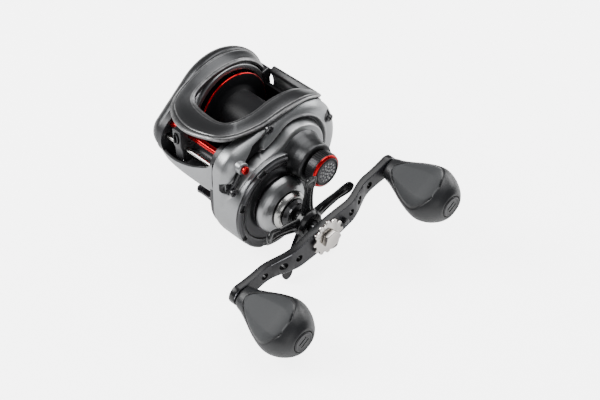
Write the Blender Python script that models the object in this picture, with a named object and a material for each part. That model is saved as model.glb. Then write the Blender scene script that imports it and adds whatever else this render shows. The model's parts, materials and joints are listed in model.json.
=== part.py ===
"""A low-profile baitcasting reel with its handle on the +X side.

+X points out of the crank, -Y is where the line leaves, +Z is up, and the origin is the
middle of the reel foot's underside. Sizes below are millimetres; MM turns them into metres.
Side views are given as (y, h), where h is the height above the spool's axis.
"""
import math

import bmesh
import bpy
from mathutils import Vector

MM = 0.001

SPOOL_Z = 21.5  # spool axis above the foot's underside
SPOOL = (0.0, 0.0)
DRIVE = (-15.3, -13.3)  # crank axis in the side view
WORM = (-25.5, -0.8)
RED_BAR = (-27.0, 5.6)
GUIDE_ROD = (-30.3, 1.2)

# Stations along X
PALM_RING = (-19.5, -16.8)
GEAR_PLATE = (13.0, 15.2)
COVER_START = 15.5
BARREL_END = 29.6
PALM_START = -19.8

SPOOL_FLANGE_R = 17.4
SPOOL_HALF_WIDTH = 12.2
BARREL_R = 20.4
DRIVE_TEETH, PINION_TEETH = 64, 10
WORM_DRIVE_TEETH, WORM_TEETH = 30, 10
CENTRE_DISTANCE = math.dist(DRIVE, SPOOL)
WORM_DISTANCE = math.dist(DRIVE, WORM)

CRANK_TILT = math.radians(11.7)  # the arm's rear end stands this far above level
CRANK_HALF = 39.8
CRANK_OUT = 56.8  # outer face of the arm's middle
CRANK_DROP = 4.2  # the ends lie this much nearer the body
CRANK_THICK = 3.0
STAR_REACH = 23.6
NUT_R = 4.1

# Side outlines as hulls of circles: (y, h, radius)
GEAR_SIDE = [(3.0, -2.0, 21.3), (-25.5, 3.5, 9.8), (*DRIVE, 20.2)]
PLATE_SIDE = [(3.0, -2.0, 20.8), (-25.0, 3.5, 9.4), (*DRIVE, 19.4)]
PALM_SIDE = [(1.0, -1.0, 20.5), (-24.0, -0.5, 9.8)]
PALM_COVER_SIDE = [(1.0, -0.3, 24.2), (-24.3, -1.0, 8.4)]

COLOURS = {
    "gunmetal": ((0.12, 0.12, 0.125), 0.38, 0.85),
    "silver": ((0.42, 0.43, 0.43), 0.35, 0.9),
    "black": ((0.015, 0.015, 0.017), 0.3, 0.3),
    "red": ((0.6, 0.02, 0.02), 0.25, 0.9),
    "steel": ((0.6, 0.6, 0.58), 0.22, 1.0),
    "brass": ((0.62, 0.44, 0.17), 0.3, 1.0),
    "grip": ((0.05, 0.052, 0.055), 0.75, 0.0),
    "carbon": ((0.03, 0.03, 0.03), 0.6, 0.0),
}


# ---------------------------------------------------------------- helpers

def clear_scene():
    for obj in list(bpy.data.objects):
        bpy.data.objects.remove(obj, do_unlink=True)


def material(name):
    found = bpy.data.materials.get(name)
    if found:
        return found
    colour, roughness, metallic = COLOURS[name]
    made = bpy.data.materials.new(name)
    made.use_nodes = True
    shader = made.node_tree.nodes["Principled BSDF"]
    shader.inputs["Base Color"].default_value = (*colour, 1)
    shader.inputs["Roughness"].default_value = roughness
    shader.inputs["Metallic"].default_value = metallic
    return made


def at(x, y, h):
    """A point from its station along X and its place in the side view."""
    return Vector((x, y, h + SPOOL_Z))


def pivot(name, x, centre):
    """An empty on a joint's axis, which moving pieces are parented to."""
    empty = bpy.data.objects.new(name, None)
    bpy.context.scene.collection.objects.link(empty)
    empty.location = at(x, *centre) * MM
    return empty


def add(name, bm, finish, parent=None):
    """Turn a mesh in millimetres into an object whose origin is its parent's."""
    origin = parent.location.copy() if parent else Vector()
    for vert in bm.verts:
        vert.co = vert.co * MM - origin
    bmesh.ops.recalc_face_normals(bm, faces=bm.faces)
    mesh = bpy.data.meshes.new(name)
    bm.to_mesh(mesh)
    bm.free()
    mesh.shade_smooth()
    mesh.set_sharp_from_angle(angle=math.radians(35))
    obj = bpy.data.objects.new(name, mesh)
    bpy.context.scene.collection.objects.link(obj)
    if parent:
        obj.parent = parent
    if finish:
        mesh.materials.append(material(finish))
    else:
        obj.hide_render = True
        obj.display_type = "WIRE"
    return obj


def combine(obj, other, operation):
    change = obj.modifiers.new(f"{operation.lower()}_{other.name}", "BOOLEAN")
    change.operation = operation
    change.object = other


def cut(obj, *tools):
    for tool in tools:
        combine(obj, tool, "DIFFERENCE")


def join(obj, *others):
    for other in others:
        combine(obj, other, "UNION")


def loft(rings, closed=False):
    """Skin a list of rings of points; the ends are capped, or joined when closed."""
    bm = bmesh.new()
    rows = [[bm.verts.new(p) for p in ring] for ring in rings]
    count = len(rows[0])
    pairs = list(zip(rows, rows[1:]))
    if closed:
        pairs.append((rows[-1], rows[0]))
    for low, high in pairs:
        for i in range(count):
            j = (i + 1) % count
            bm.faces.new((low[i], low[j], high[j], high[i]))
    if not closed:
        bm.faces.new(list(reversed(rows[0])))
        bm.faces.new(rows[-1])
    return bm


def prism(points, x0, x1):
    """Extrude a side-view outline from x0 to x1."""
    return loft([[at(x, y, h) for y, h in points] for x in (x0, x1)])


def turned(profile, centre, steps=40):
    """Revolve a closed profile of (x, radius) about an X-parallel axis."""
    bm = bmesh.new()
    solid_of_revolution(bm, profile, centre, steps)
    return bm


def solid_of_revolution(bm, profile, centre, steps):
    rows = []
    for x, r in profile:
        if r == 0:
            rows.append([bm.verts.new(at(x, *centre))])
            continue
        row = []
        for i in range(steps):
            turn = 2 * math.pi * i / steps
            y = centre[0] + r * math.cos(turn)
            h = centre[1] + r * math.sin(turn)
            row.append(bm.verts.new(at(x, y, h)))
        rows.append(row)
    closed = profile[0][1] > 0
    pairs = list(zip(rows, rows[1:]))
    if closed:
        pairs.append((rows[-1], rows[0]))
    for low, high in pairs:
        for i in range(steps):
            j = (i + 1) % steps
            corners = [low[i % len(low)], low[j % len(low)], high[j % len(high)], high[i % len(high)]]
            bm.faces.new(list(dict.fromkeys(corners)))


def rod(x0, x1, r, centre, steps=24, chamfer=0.0):
    c = chamfer
    profile = [(x0, 0), (x0, r - c), (x0 + c, r), (x1 - c, r), (x1, r - c), (x1, 0)]
    if c == 0:
        profile = [(x0, 0), (x0, r), (x1, r), (x1, 0)]
    return turned(profile, centre, steps)


def tube(x0, x1, inner, outer, centre, steps=40):
    return turned([(x0, inner), (x0, outer), (x1, outer), (x1, inner)], centre, steps)


def hull(circles, shrink=0.0, per_circle=40):
    """Convex hull of a set of circles, as side-view points."""
    points = []
    for y, h, r in circles:
        for i in range(per_circle):
            turn = 2 * math.pi * i / per_circle
            points.append((y + (r - shrink) * math.cos(turn), h + (r - shrink) * math.sin(turn)))
    points = sorted(set(points))

    def half(ordered):
        chain = []
        for p in ordered:
            while len(chain) > 1 and cross(chain[-2], chain[-1], p) <= 0:
                chain.pop()
            chain.append(p)
        return chain[:-1]

    return half(points) + half(points[::-1])


def cross(a, b, c):
    return (b[0] - a[0]) * (c[1] - a[1]) - (b[1] - a[1]) * (c[0] - a[0])


def even(points, centre, count):
    """Walk round a convex outline at equal angles seen from a centre."""
    ring = []
    for i in range(count):
        turn = 2 * math.pi * i / count
        ray = (math.cos(turn), math.sin(turn))
        reach = 0.0
        for a, b in zip(points, points[1:] + points[:1]):
            edge = (b[0] - a[0], b[1] - a[1])
            start = (a[0] - centre[0], a[1] - centre[1])
            scale = ray[0] * edge[1] - ray[1] * edge[0]
            if abs(scale) < 1e-9:
                continue
            along = (start[0] * edge[1] - start[1] * edge[0]) / scale
            share = (start[0] * ray[1] - start[1] * ray[0]) / scale
            if along > 0 and -1e-6 <= share <= 1 + 1e-6:
                reach = max(reach, along)
        ring.append((centre[0] + reach * ray[0], centre[1] + reach * ray[1]))
    return ring


def shell_rings(circles, stations, centre, count=56, floor=None):
    """Rings of a domed side shell: stations are (x, shrink)."""
    rings = []
    for x, shrink in stations:
        ring = even(hull(circles, shrink), centre, count)
        if floor is not None:
            ring = [(y, max(h, floor + 0.25 * shrink)) for y, h in ring]
        rings.append([at(x, y, h) for y, h in ring])
    return rings


def gear_outline(teeth, pitch_r, addendum, dedendum, centre, phase):
    """Teeth with flat tips and pointed roots, slim enough to leave backlash."""
    points = []
    step = 2 * math.pi / teeth
    for i in range(teeth):
        middle = phase + i * step
        for share, r in ((-0.5, pitch_r - dedendum), (-0.09, pitch_r + addendum),
                         (0.09, pitch_r + addendum)):
            turn = middle + share * step
            points.append((centre[0] + r * math.cos(turn), centre[1] + r * math.sin(turn)))
    return points


def smooth_path(points, count):
    """Catmull-Rom curve through stations of any width, sampled evenly."""
    ends = [points[0], *points, points[-1]]
    made = []
    spans = len(points) - 1
    for k in range(count):
        place = k * spans / (count - 1)
        i = min(int(place), spans - 1)
        t = place - i
        a, b, c, d = ends[i:i + 4]
        made.append(tuple(
            0.5 * (2 * q + (r - p) * t + (2 * p - 5 * q + 4 * r - s) * t * t + (3 * q - p - 3 * r + s) * t ** 3)
            for p, q, r, s in zip(a, b, c, d)))
    return made


def box(x0, x1, y0, y1, h0, h1):
    return prism([(y0, h0), (y1, h0), (y1, h1), (y0, h1)], x0, x1)


# ---------------------------------------------------------------- frame

FLOOR_TOP = -18.6
FLOOR_BOTTOM = -19.9
REAR_WALL = (19.6, 21.4)  # radii of the wall behind the spool
LIP_THICK = 1.6
# Front lip below the line window: x, then its outer face from the rim down, as (y, h)
LIP = [
    (-18.6, (-32.6, -4.8), (-32.4, -5.8), (-31.4, -7.4), (-29.6, -9.0), (-27.6, -9.8)),
    (-13.0, (-34.0, -4.4), (-34.0, -5.8), (-32.8, -8.0), (-29.8, -10.8), (-27.4, -12.2)),
    (-6.0, (-35.1, -3.0), (-35.1, -5.4), (-33.8, -7.8), (-30.4, -11.6), (-27.4, -13.6)),
    (2.0, (-35.5, -0.4), (-35.5, -5.0), (-34.0, -7.8), (-30.4, -12.0), (-27.2, -14.2)),
    (8.0, (-35.4, 2.4), (-35.4, -4.2), (-33.9, -7.8), (-30.4, -12.0), (-27.2, -14.3)),
    (12.0, (-35.3, 4.6), (-35.3, -3.4), (-33.7, -7.6), (-30.2, -12.0), (-27.0, -14.4)),
    (14.8, (-34.6, 7.4), (-35.0, -2.6), (-33.4, -7.4), (-30.0, -12.0), (-26.8, -14.6)),
]


def lip_ring(x, *outer):
    """Cross-section of the lip: its outer face and the same line moved inwards."""
    inner = []
    for i, (y, h) in enumerate(outer):
        before, after = outer[max(i - 1, 0)], outer[min(i + 1, len(outer) - 1)]
        dy, dh = after[0] - before[0], after[1] - before[1]
        length = math.hypot(dy, dh)
        inner.append((y - dh / length * LIP_THICK, h + dy / length * LIP_THICK))
    return [at(x, y, h) for y, h in [*outer, *reversed(inner)]]


def build_frame():
    frame = add("main_frame", prism(even(hull(PLATE_SIDE), (-8, -2), 48), *GEAR_PLATE), "gunmetal")
    ring = add("frame_palm_ring", prism(even(hull(PALM_SIDE), (-8, -1), 48), *PALM_RING), None)
    collar = add("frame_collar", tube(PALM_RING[1] - 1, -13.3, 17.6, 19.4, SPOOL, 40), None)
    floor = add("frame_floor", box(PALM_RING[0] + 0.5, GEAR_PLATE[1] - 0.7, -14, 18, FLOOR_BOTTOM, FLOOR_TOP), None)
    lip = add("frame_lip", loft([lip_ring(*station) for station in LIP]), None)
    turns = [math.radians(-66 + i * 9) for i in range(8)]
    inner, outer = REAR_WALL
    arc = [(outer * math.cos(t), outer * math.sin(t)) for t in turns]
    arc += [(inner * math.cos(t), inner * math.sin(t)) for t in reversed(turns)]
    rear = add("frame_rear", prism(arc, PALM_RING[0] + 1.1, GEAR_PLATE[1] - 0.9), None)
    join(frame, ring, collar, floor, lip, rear)
    cut(
        frame,
        add("bore_palm", rod(PALM_RING[0] - 1, -12.7, 18.35, SPOOL, 45), None),
        add("bore_pinion", rod(12, 16, 5.2, SPOOL, 32), None),
        add("bore_drive", rod(12, 16, 5.3, DRIVE, 32), None),
        add("bore_worm", rod(12, 16, 2.9, WORM, 24), None),
        add("bore_red_bar", rod(-17.9, 16, 1.7, RED_BAR, 20), None),
        add("bore_guide_rod", rod(-17.9, 16, 1.2, GUIDE_ROD, 16), None),
        add("bore_worm_palm", rod(-17.9, -16, 2.9, WORM, 24), None),
        add("flange_recess", rod(12.5, 13.7, 18.0, SPOOL, 40), None),
    )


FOOT_X = 6.6
FOOT_SAG_R = 11.0
FOOT_THICK = 1.2


def foot_profile(half_width):
    """Saddle cross-section, hollow underneath, with a flat middle facet."""
    xs = [half_width * s for s in (-1, -0.6, -0.2, 0.2, 0.6, 1)]
    flat = abs(xs[2])
    drop = [-(FOOT_SAG_R - math.sqrt(FOOT_SAG_R ** 2 - max(0.0, abs(x) - flat) ** 2)) for x in xs]
    under = [(x, d) for x, d in zip(xs, drop)]
    top = [(x, FOOT_THICK + d * 0.8) for x, d in zip(xs, drop)]
    return under + top[::-1]


def build_foot():
    stations = [(-27.4, 3.6), (-26.4, 5.2), (-23, FOOT_X), (-8, FOOT_X), (0, FOOT_X), (8, FOOT_X),
                (24, FOOT_X), (28, 5.4), (29.2, 3.6)]
    rings = [[Vector((x, y, z)) for x, z in foot_profile(w)] for y, w in stations]
    add("reel_foot", loft(rings), "black")


# Hood stations, palm rear to handle rear: inner edge (x, y, h), outer edge (x, y, h), depth
HOOD = [
    ((-14.2, 20.2, 9.0), (-19.6, 21.6, 9.8), 1.2),
    ((-14.0, 15.0, 15.6), (-19.6, 16.4, 17.6), 1.1),
    ((-13.8, 7.0, 20.2), (-19.6, 7.4, 22.2), 1.6),
    ((-13.8, -3.0, 21.0), (-19.6, -3.6, 23.2), 1.7),
    ((-13.8, -12.0, 19.2), (-19.6, -15.0, 20.0), 1.9),
    ((-12.6, -18.6, 16.8), (-18.4, -25.6, 15.2), 2.0),
    ((-8.6, -21.0, 15.8), (-12.4, -30.8, 13.6), 1.6),
    ((-1.0, -22.2, 15.8), (-2.0, -34.0, 14.6), 1.5),
    ((6.6, -22.6, 16.8), (8.6, -32.4, 15.8), 1.5),
    ((11.0, -20.6, 18.2), (16.4, -27.4, 16.4), 1.5),
    ((12.8, -12.0, 19.0), (21.2, -15.0, 18.2), 1.6),
    ((13.2, -2.0, 21.0), (22.6, -3.6, 20.6), 1.3),
    ((13.4, 8.0, 20.0), (22.4, 7.4, 20.4), 1.0),
    ((13.6, 15.4, 16.4), (21.6, 15.6, 17.4), 1.1),
    ((13.8, 21.4, 11.4), (20.2, 21.8, 11.8), 1.0),
]


def hood_rings(count):
    """Cross-sections of the horseshoe: a crowned band with rounded edges."""
    flat = [(*inner, *outer, depth) for inner, outer, depth in HOOD]
    rings = []
    for s in smooth_path(flat, count):
        inner, outer, depth = Vector(s[:3]), Vector(s[3:6]), s[6]
        across = outer - inner
        down = Vector((0, 0, -1))
        if abs(across.y) < abs(across.x):
            radial = Vector((0, inner.y, inner.z)).normalized()
            down = -radial
        crown = -down * 0.06 * across.length
        top = [inner, inner + across * 0.12 - down * 0.35, inner + across * 0.5 + crown,
               inner + across * 0.88 - down * 0.3, outer]
        under = [outer + down * depth * 0.75, outer - across * 0.12 + down * depth,
                 inner + across * 0.12 + down * depth, inner + down * depth * 0.7]
        rings.append([p + Vector((0, 0, SPOOL_Z)) for p in top + under])
    return rings


def build_hood():
    add("hood", loft(hood_rings(44)), "gunmetal")


# ---------------------------------------------------------------- handle side

COVER_STATIONS = [(COVER_START, 0.2), (20.6, 0.0), (22.0, 1.0), (23.4, 3.0), (24.6, 6.0), (25.2, 9.0)]
BOSS = [(20.0, 0), (20.0, 13.4), (24.6, 13.0), (27.0, 11.8), (30.0, 10.4), (33.0, 9.4), (35.4, 8.9), (35.9, 8.4), (35.9, 0)]
BARREL = [(17.0, 0), (17.0, BARREL_R), (28.6, BARREL_R), (28.6, 16.2), (BARREL_END, 16.2), (BARREL_END, 0)]
CASE_DOME = [(28.3, 6.7), (28.3, 10.9), (30.8, 10.9), (30.8, 12.4), (31.4, 12.5), (33.0, 12.2),
             (34.6, 11.0), (35.6, 9.4), (36.0, 8.6), (36.0, 6.7)]


def build_handle_side():
    cover = add("handle_side_cover",
                loft(shell_rings(GEAR_SIDE, COVER_STATIONS, (-8, -4), 48)), "silver")
    barrel = add("cover_barrel", turned(BARREL, DRIVE, 48), None)
    boss = add("cover_boss", turned(BOSS, SPOOL, 36), None)
    cut(boss, add("boss_clearance", rod(28.0, 37.0, 12.9, DRIVE, 42), None))
    join(cover, barrel, boss)
    inside = shell_rings(GEAR_SIDE, [(COVER_START - 2, 1.8), (22.4, 1.8)], (-8, -4), 48)
    cut(
        cover,
        add("cover_cavity", loft(inside), None),
        add("barrel_cavity", rod(21, 27.8, 18.1, DRIVE, 48), None),
        add("boss_cavity", rod(21.5, 26.0, 8.0, SPOOL, 40), None),
        add("boss_bore", rod(25, 37, 5.35, SPOOL, 33), None),
        add("dome_seat", rod(27, 31, 11.2, DRIVE, 40), None),
    )
    ring = add("barrel_ring", tube(28.9, 30.8, 16.5, BARREL_R, DRIVE, 48), "gunmetal")
    notches = []
    for i in range(8):
        turn = math.radians(22.5 + i * 45)
        spread = math.radians(4.5)
        outline = [(DRIVE[0] + r * math.cos(t), DRIVE[1] + r * math.sin(t))
                   for r, t in ((18.4, turn - spread), (21.5, turn - spread),
                                (21.5, turn + spread), (18.4, turn + spread))]
        notches.append(add(f"ring_notch_{i}", prism(outline, 29.9, 31.5), None))
    cut(ring, *notches, add("ring_gap", rod(28, 32, 11.6, SPOOL, 48), None))
    add("bearing_dome", turned(CASE_DOME, DRIVE, 40), "silver")
    add("drive_collar", turned([(36.3, 5.2), (36.3, 8.2), (38.4, 7.6), (38.9, 7.0), (38.9, 5.2)], DRIVE, 40), "steel")
    add("anti_reverse_bearing", tube(28.6, 34.6, 4.3, 6.4, DRIVE, 24), "steel")
    add("drive_shaft_bearing", tube(13.1, 15.1, 2.8, 5.0, DRIVE, 24), "steel")
    add("spool_bearing_handle", tube(28.3, 30.3, 1.6, 5.0, SPOOL, 24), "steel")
    add("pinion_bearing", tube(13.1, 15.1, 3.4, 4.9, SPOOL, 24), "steel")


LINK_TOP = (-28.2, 8.0)
LINK_FOOT = (-33.7, -0.5)


def build_trim():
    along = Vector((0, LINK_FOOT[0] - LINK_TOP[0], LINK_FOOT[1] - LINK_TOP[1])).normalized()
    aside = Vector((0, -along.z, along.y)) * 1.1
    rings = []
    for x, centre, over in ((25.0, LINK_TOP, -1.4), (24.0, LINK_FOOT, 1.4)):
        middle = at(x, *centre) + along * over
        rings.append([middle - aside, middle + aside, middle + aside + Vector((0.7, 0, 0)),
                      middle - aside + Vector((0.7, 0, 0))])
    add("trim_link", loft(rings), "black")
    add("hood_screw", rod(22.4, 23.8, 1.9, (-12.4, 16.8), 16, 0.3), "black")
    add("link_screw_red", rod(26.1, 27.4, 1.6, LINK_TOP, 16, 0.3), "red")
    add("link_screw_lower", rod(25.1, 26.3, 1.6, LINK_FOOT, 16, 0.3), "black")
    add("cover_screw_rear", rod(24.4, 25.4, 1.7, (18.2, 7.0), 16, 0.3), "black")


# ---------------------------------------------------------------- level wind

def build_level_wind():
    add("level_wind_bar", rod(-17.6, 15.0, 1.4, RED_BAR, 20), "red")
    add("guide_rod", rod(-17.6, 15.0, 0.9, GUIDE_ROD, 16), "steel")
    housing = add("worm_housing", tube(-17.6, 12.7, 1.9, 2.6, WORM, 28), "black")
    slot = add("worm_slot", box(-15.5, 11.0, WORM[0] - 0.8, WORM[0] + 0.8, WORM[1] - 5, WORM[1]), None)
    cut(housing, slot)
    axis = pivot("worm_axis", 0, WORM)
    worm = [(-17.0, 0), (-17.0, 1.2)]
    worm += [(-16.0 + 1.35 * i, 1.55 if i % 2 else 1.1) for i in range(21)]
    worm += [(12.2, 1.5), (19.4, 1.5), (19.4, 0)]
    add("worm_shaft", turned(worm, WORM, 12), "steel", axis)
    phase = math.atan2(DRIVE[1] - WORM[1], DRIVE[0] - WORM[0])
    module = 2 * WORM_DISTANCE / (WORM_DRIVE_TEETH + WORM_TEETH)
    outline = gear_outline(WORM_TEETH, module * WORM_TEETH / 2, module * 0.6, module * 1.1, WORM,
                           phase + math.pi / WORM_TEETH)
    gear = add("worm_gear", prism(outline, 16.0, 18.2), "carbon", axis)
    cut(gear, add("worm_gear_bore", rod(15, 19, 1.8, WORM, 20), None))


GUIDE_X = (-9.6, -4.8)
GUIDE_SIDE = [(-33.4, 10.6), (-29.4, 10.6), (-29.4, 3.4), (-22.2, 3.4), (-21.8, 2.6), (-21.8, -4.2),
              (-22.8, -5.0), (-31.0, -5.0), (-32.4, -3.4), (-32.6, 1.0), (-33.4, 3.6)]


EYELET_H = 7.0


def oval_plug(x, y0, y1, half_width, half_height):
    """An oval solid that runs along Y, for the eyelet and its ring."""
    turns = [2 * math.pi * i / 20 for i in range(20)]
    return loft([[at(x + half_width * math.cos(t), y, EYELET_H + half_height * math.sin(t)) for t in turns]
                 for y in (y0, y1)])


def upright(x, y, h0, h1, r, steps=14):
    """A vertical round post."""
    turns = [2 * math.pi * i / steps for i in range(steps)]
    return loft([[at(x + r * math.cos(t), y + r * math.sin(t), h) for t in turns] for h in (h0, h1)])


def build_line_guide():
    x0, x1 = GUIDE_X
    centre = (x0 + x1) / 2
    axis = pivot("guide_slide", centre, WORM)
    guide = add("line_guide", prism(GUIDE_SIDE, x0, x1), "black", axis)
    insert = add("eyelet_insert", oval_plug(centre, -34.2, -29.0, 1.4, 2.55), "steel", axis)
    cut(insert, add("eyelet_hole", oval_plug(centre, -35, -28, 0.9, 2.05), None, axis))
    add("guide_pawl", upright(centre, WORM[0], -5.2, WORM[1] - 1.9, 0.6), "brass", axis)
    add("pawl_cap", upright(centre, WORM[0], -6.6, -5.5, 1.7), "steel", axis)
    cut(
        guide,
        add("guide_worm_bore", rod(x0 - 1, x1 + 1, 2.9, WORM, 28), None),
        add("guide_rod_bore", rod(x0 - 1, x1 + 1, 1.2, GUIDE_ROD, 16), None),
        add("guide_eyelet", oval_plug(centre, -36, -28.9, 1.7, 2.85), None, axis),
        add("guide_pawl_bore", upright(centre, WORM[0], -6, WORM[1], 0.9), None, axis),
    )


# ---------------------------------------------------------------- spool

def build_spool():
    axis = pivot("spool_axis", 0, SPOOL)
    w, r = SPOOL_HALF_WIDTH, SPOOL_FLANGE_R
    add("spool", turned([(-w, 1.9), (-w, r - 1.4), (-w + 0.3, r - 0.1), (-w + 0.7, r), (-w + 1.1, r - 0.2),
                         (-w + 1.3, 12.4), (-w + 2.4, 10.4), (w - 2.4, 10.4), (w - 1.3, 12.4),
                         (w - 1.1, r - 0.2), (w - 0.7, r), (w - 0.3, r - 0.1), (w, r - 1.4), (w, 1.9)],
                        SPOOL, 40), "black", axis)
    shaft = add("spool_shaft", rod(-24.8, 33.6, 1.25, SPOOL, 16, 0.3), "steel", axis)
    add("brake_rotor", tube(-15.6, -12.5, 10.6, 11.8, SPOOL, 32), "steel", axis)
    pin = add("spool_cross_pin", box(17.9, 19.1, -2.6, 2.6, -0.5, 0.5), None, axis)
    join(shaft, pin)


def build_pinion():
    axis = pivot("pinion_axis", 20, SPOOL)
    module = 2 * CENTRE_DISTANCE / (DRIVE_TEETH + PINION_TEETH)
    phase = math.atan2(DRIVE[1], DRIVE[0])
    outline = gear_outline(PINION_TEETH, module * PINION_TEETH / 2, module * 0.6, module * 1.1, SPOOL,
                           phase + math.pi / PINION_TEETH)
    pinion = add("pinion_gear", prism(outline, 19.6, 25.6), "brass", axis)
    cut(pinion, add("pinion_bore", rod(19, 26, 1.6, SPOOL, 20), None, axis))


# ---------------------------------------------------------------- crank and drive

def build_drive(axis):
    module = 2 * CENTRE_DISTANCE / (DRIVE_TEETH + PINION_TEETH)
    phase = math.atan2(-DRIVE[1], -DRIVE[0])
    gear = add("drive_gear", prism(gear_outline(DRIVE_TEETH, module * DRIVE_TEETH / 2, module * 0.6,
                                                module * 1.1, DRIVE, phase), 19.9, 22.8), "brass", axis)
    cut(gear, add("drive_gear_bore", rod(19, 24, 2.8, DRIVE, 28), None),
        add("drive_gear_recess", rod(21.2, 24, 14.2, DRIVE, 32), None))
    module = 2 * WORM_DISTANCE / (WORM_DRIVE_TEETH + WORM_TEETH)
    phase = math.atan2(WORM[1] - DRIVE[1], WORM[0] - DRIVE[0])
    small = add("worm_drive_gear", prism(gear_outline(WORM_DRIVE_TEETH, module * WORM_DRIVE_TEETH / 2,
                                                      module * 0.6, module * 1.1, DRIVE, phase),
                                         16.2, 18.0), "carbon", axis)
    cut(small, add("worm_drive_bore", rod(15, 19, 2.8, DRIVE, 28), None))
    add("drive_shaft", turned([(11.4, 0), (11.4, 2.2), (11.8, 2.5), (57.6, 2.5), (57.6, 0)], DRIVE, 24), "steel", axis)
    add("drag_washer_carbon", tube(21.5, 22.6, 4.2, 13.6, DRIVE, 28), "carbon", axis)
    add("drag_washer_steel", tube(22.9, 23.8, 2.8, 13.6, DRIVE, 28), "steel", axis)
    add("drag_sleeve", turned([(24.1, 2.8), (24.1, 12.6), (25.4, 12.2), (25.8, 4.0), (38.6, 4.0), (38.6, 2.8)],
                              DRIVE, 24), "steel", axis)
    add("drag_spring_washer", turned([(39.2, 2.8), (39.2, 6.2), (40.4, 5.2), (41.2, 5.2), (41.2, 2.8)],
                                     DRIVE, 24), "steel", axis)


def star_arm(turn):
    """One cupped arm of the star, from the hub to a rounded tip that curls outwards."""
    rings = []
    for share in (i / 6 for i in range(7)):
        reach = 4.0 + (STAR_REACH - 4.0) * share
        half = 3.1 - 0.9 * math.sin(math.pi * share * 0.62) - 1.1 * max(0.0, share - 0.85) / 0.15
        x = 46.6 + 2.2 * share ** 1.8
        thick = 3.0 - 1.0 * share
        ring = []
        for side, out in ((-1, 0), (-0.55, 0.75), (0, 0.35), (0.55, 0.75), (1, 0), (0.6, -1), (-0.6, -1)):
            y = DRIVE[0] + reach * math.cos(turn) - half * side * math.sin(turn)
            h = DRIVE[1] + reach * math.sin(turn) + half * side * math.cos(turn)
            ring.append(at(x + out * thick / 2, y, h))
        rings.append(ring)
    return loft(rings)


def build_star():
    axis = pivot("star_axis", 44, DRIVE)
    star = add("star_drag", turned([(44.6, 2.8), (44.6, 5.4), (45.2, 6.1), (48.0, 6.1), (49.6, 5.0), (49.6, 2.8)],
                                   DRIVE, 30), "black", axis)
    arms = [add(f"star_arm_{i}", star_arm(math.radians(90 + 72 * i)), None, axis) for i in range(5)]
    join(star, *arms)
    cut(star, add("star_bore", rod(40, 51, 2.8, DRIVE, 20), None, axis))


def crank_x(reach):
    """Outer face of the arm: level at the middle and set back near the ends."""
    share = min(1.0, max(0.0, (abs(reach) - 13.0) / 16.0))
    return CRANK_OUT - CRANK_DROP * (0.5 - 0.5 * math.cos(math.pi * share))


def crank_half_width(reach):
    share = abs(reach) / CRANK_HALF
    return 5.9 - 2.6 * math.sin(math.pi / 2 * min(1.0, share * 1.15)) ** 2 + 1.1 * share ** 6


def crank_point(x, reach, side):
    y = DRIVE[0] + reach * math.cos(CRANK_TILT) - side * math.sin(CRANK_TILT)
    h = DRIVE[1] + reach * math.sin(CRANK_TILT) + side * math.cos(CRANK_TILT)
    return at(x, y, h)


def build_crank(axis):
    end = 4.4
    reaches = [-CRANK_HALF - end, -CRANK_HALF - end * 0.86, -CRANK_HALF - end * 0.5]
    reaches += [-CRANK_HALF + i * CRANK_HALF / 9 for i in range(19)]
    reaches += [-r for r in (reaches[2], reaches[1], reaches[0])]
    rings = []
    for reach in reaches:
        beyond = max(0.0, abs(reach) - CRANK_HALF) / end
        half = crank_half_width(min(abs(reach), CRANK_HALF)) * max(0.22, math.sqrt(1 - beyond * beyond * 0.98))
        x = crank_x(reach)
        rings.append([crank_point(px, reach, side) for px, side in
                      ((x - CRANK_THICK, -half), (x - 0.5, -half), (x, -half + 0.5),
                       (x, half - 0.5), (x - 0.5, half), (x - CRANK_THICK, half))])
    arm = add("crank_arm", loft(rings), "black", axis)
    holes = [add("crank_bore", rod(50, 60, 2.8, DRIVE, 28), None, axis)]
    for sign in (-1, 1):
        for reach, r in ((14.2, 1.5), (20.6, 1.7), (28.4, 1.5)):
            p = crank_point(0, sign * reach, 0)
            holes.append(add(f"crank_hole_{sign}_{reach:.0f}", rod(45, 62, r, (p.y, p.z - SPOOL_Z), 14), None, axis))
    cut(arm, *holes)
    lobes = []
    for i in range(12 * 3):
        turn = 2 * math.pi * i / 36
        r = 7.3 + 0.45 * math.cos(12 * turn)
        lobes.append((DRIVE[0] + r * math.cos(turn), DRIVE[1] + r * math.sin(turn)))
    retainer = add("nut_retainer", prism(lobes, 57.1, 58.3), "steel", axis)
    cut(retainer, add("retainer_bore", rod(56, 60, 2.8, DRIVE, 28), None, axis))
    hexagon = [(DRIVE[0] + NUT_R * math.cos(math.radians(60 * i + 14)),
                DRIVE[1] + NUT_R * math.sin(math.radians(60 * i + 14))) for i in range(6)]
    add("crank_nut", prism(hexagon, 58.6, 60.8), "steel", axis)
    p = crank_point(0, 9.6, 0)
    add("retainer_screw", rod(57.1, 58.9, 1.2, (p.y, p.z - SPOOL_Z), 20, 0.3), "black", axis)


def knob_centre(sign):
    p = crank_point(0, sign * CRANK_HALF, 0)
    return p.y, p.z - SPOOL_Z


# Knob stations: (x, half-width of the broad side, half-thickness)
KNOB = [(53.3, 3.6, 3.6), (54.0, 4.6, 4.4), (57.0, 5.4, 4.9), (61.0, 7.0, 5.6), (66.0, 9.2, 6.8),
        (71.0, 10.8, 8.0), (75.0, 11.2, 8.8), (79.0, 10.0, 8.6), (82.4, 7.8, 7.2), (84.2, 5.8, 5.6), (84.6, 5.0, 4.9)]
KNOB_FACE = math.radians(32)  # turn of the knob's broad faces about its own axis


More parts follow.
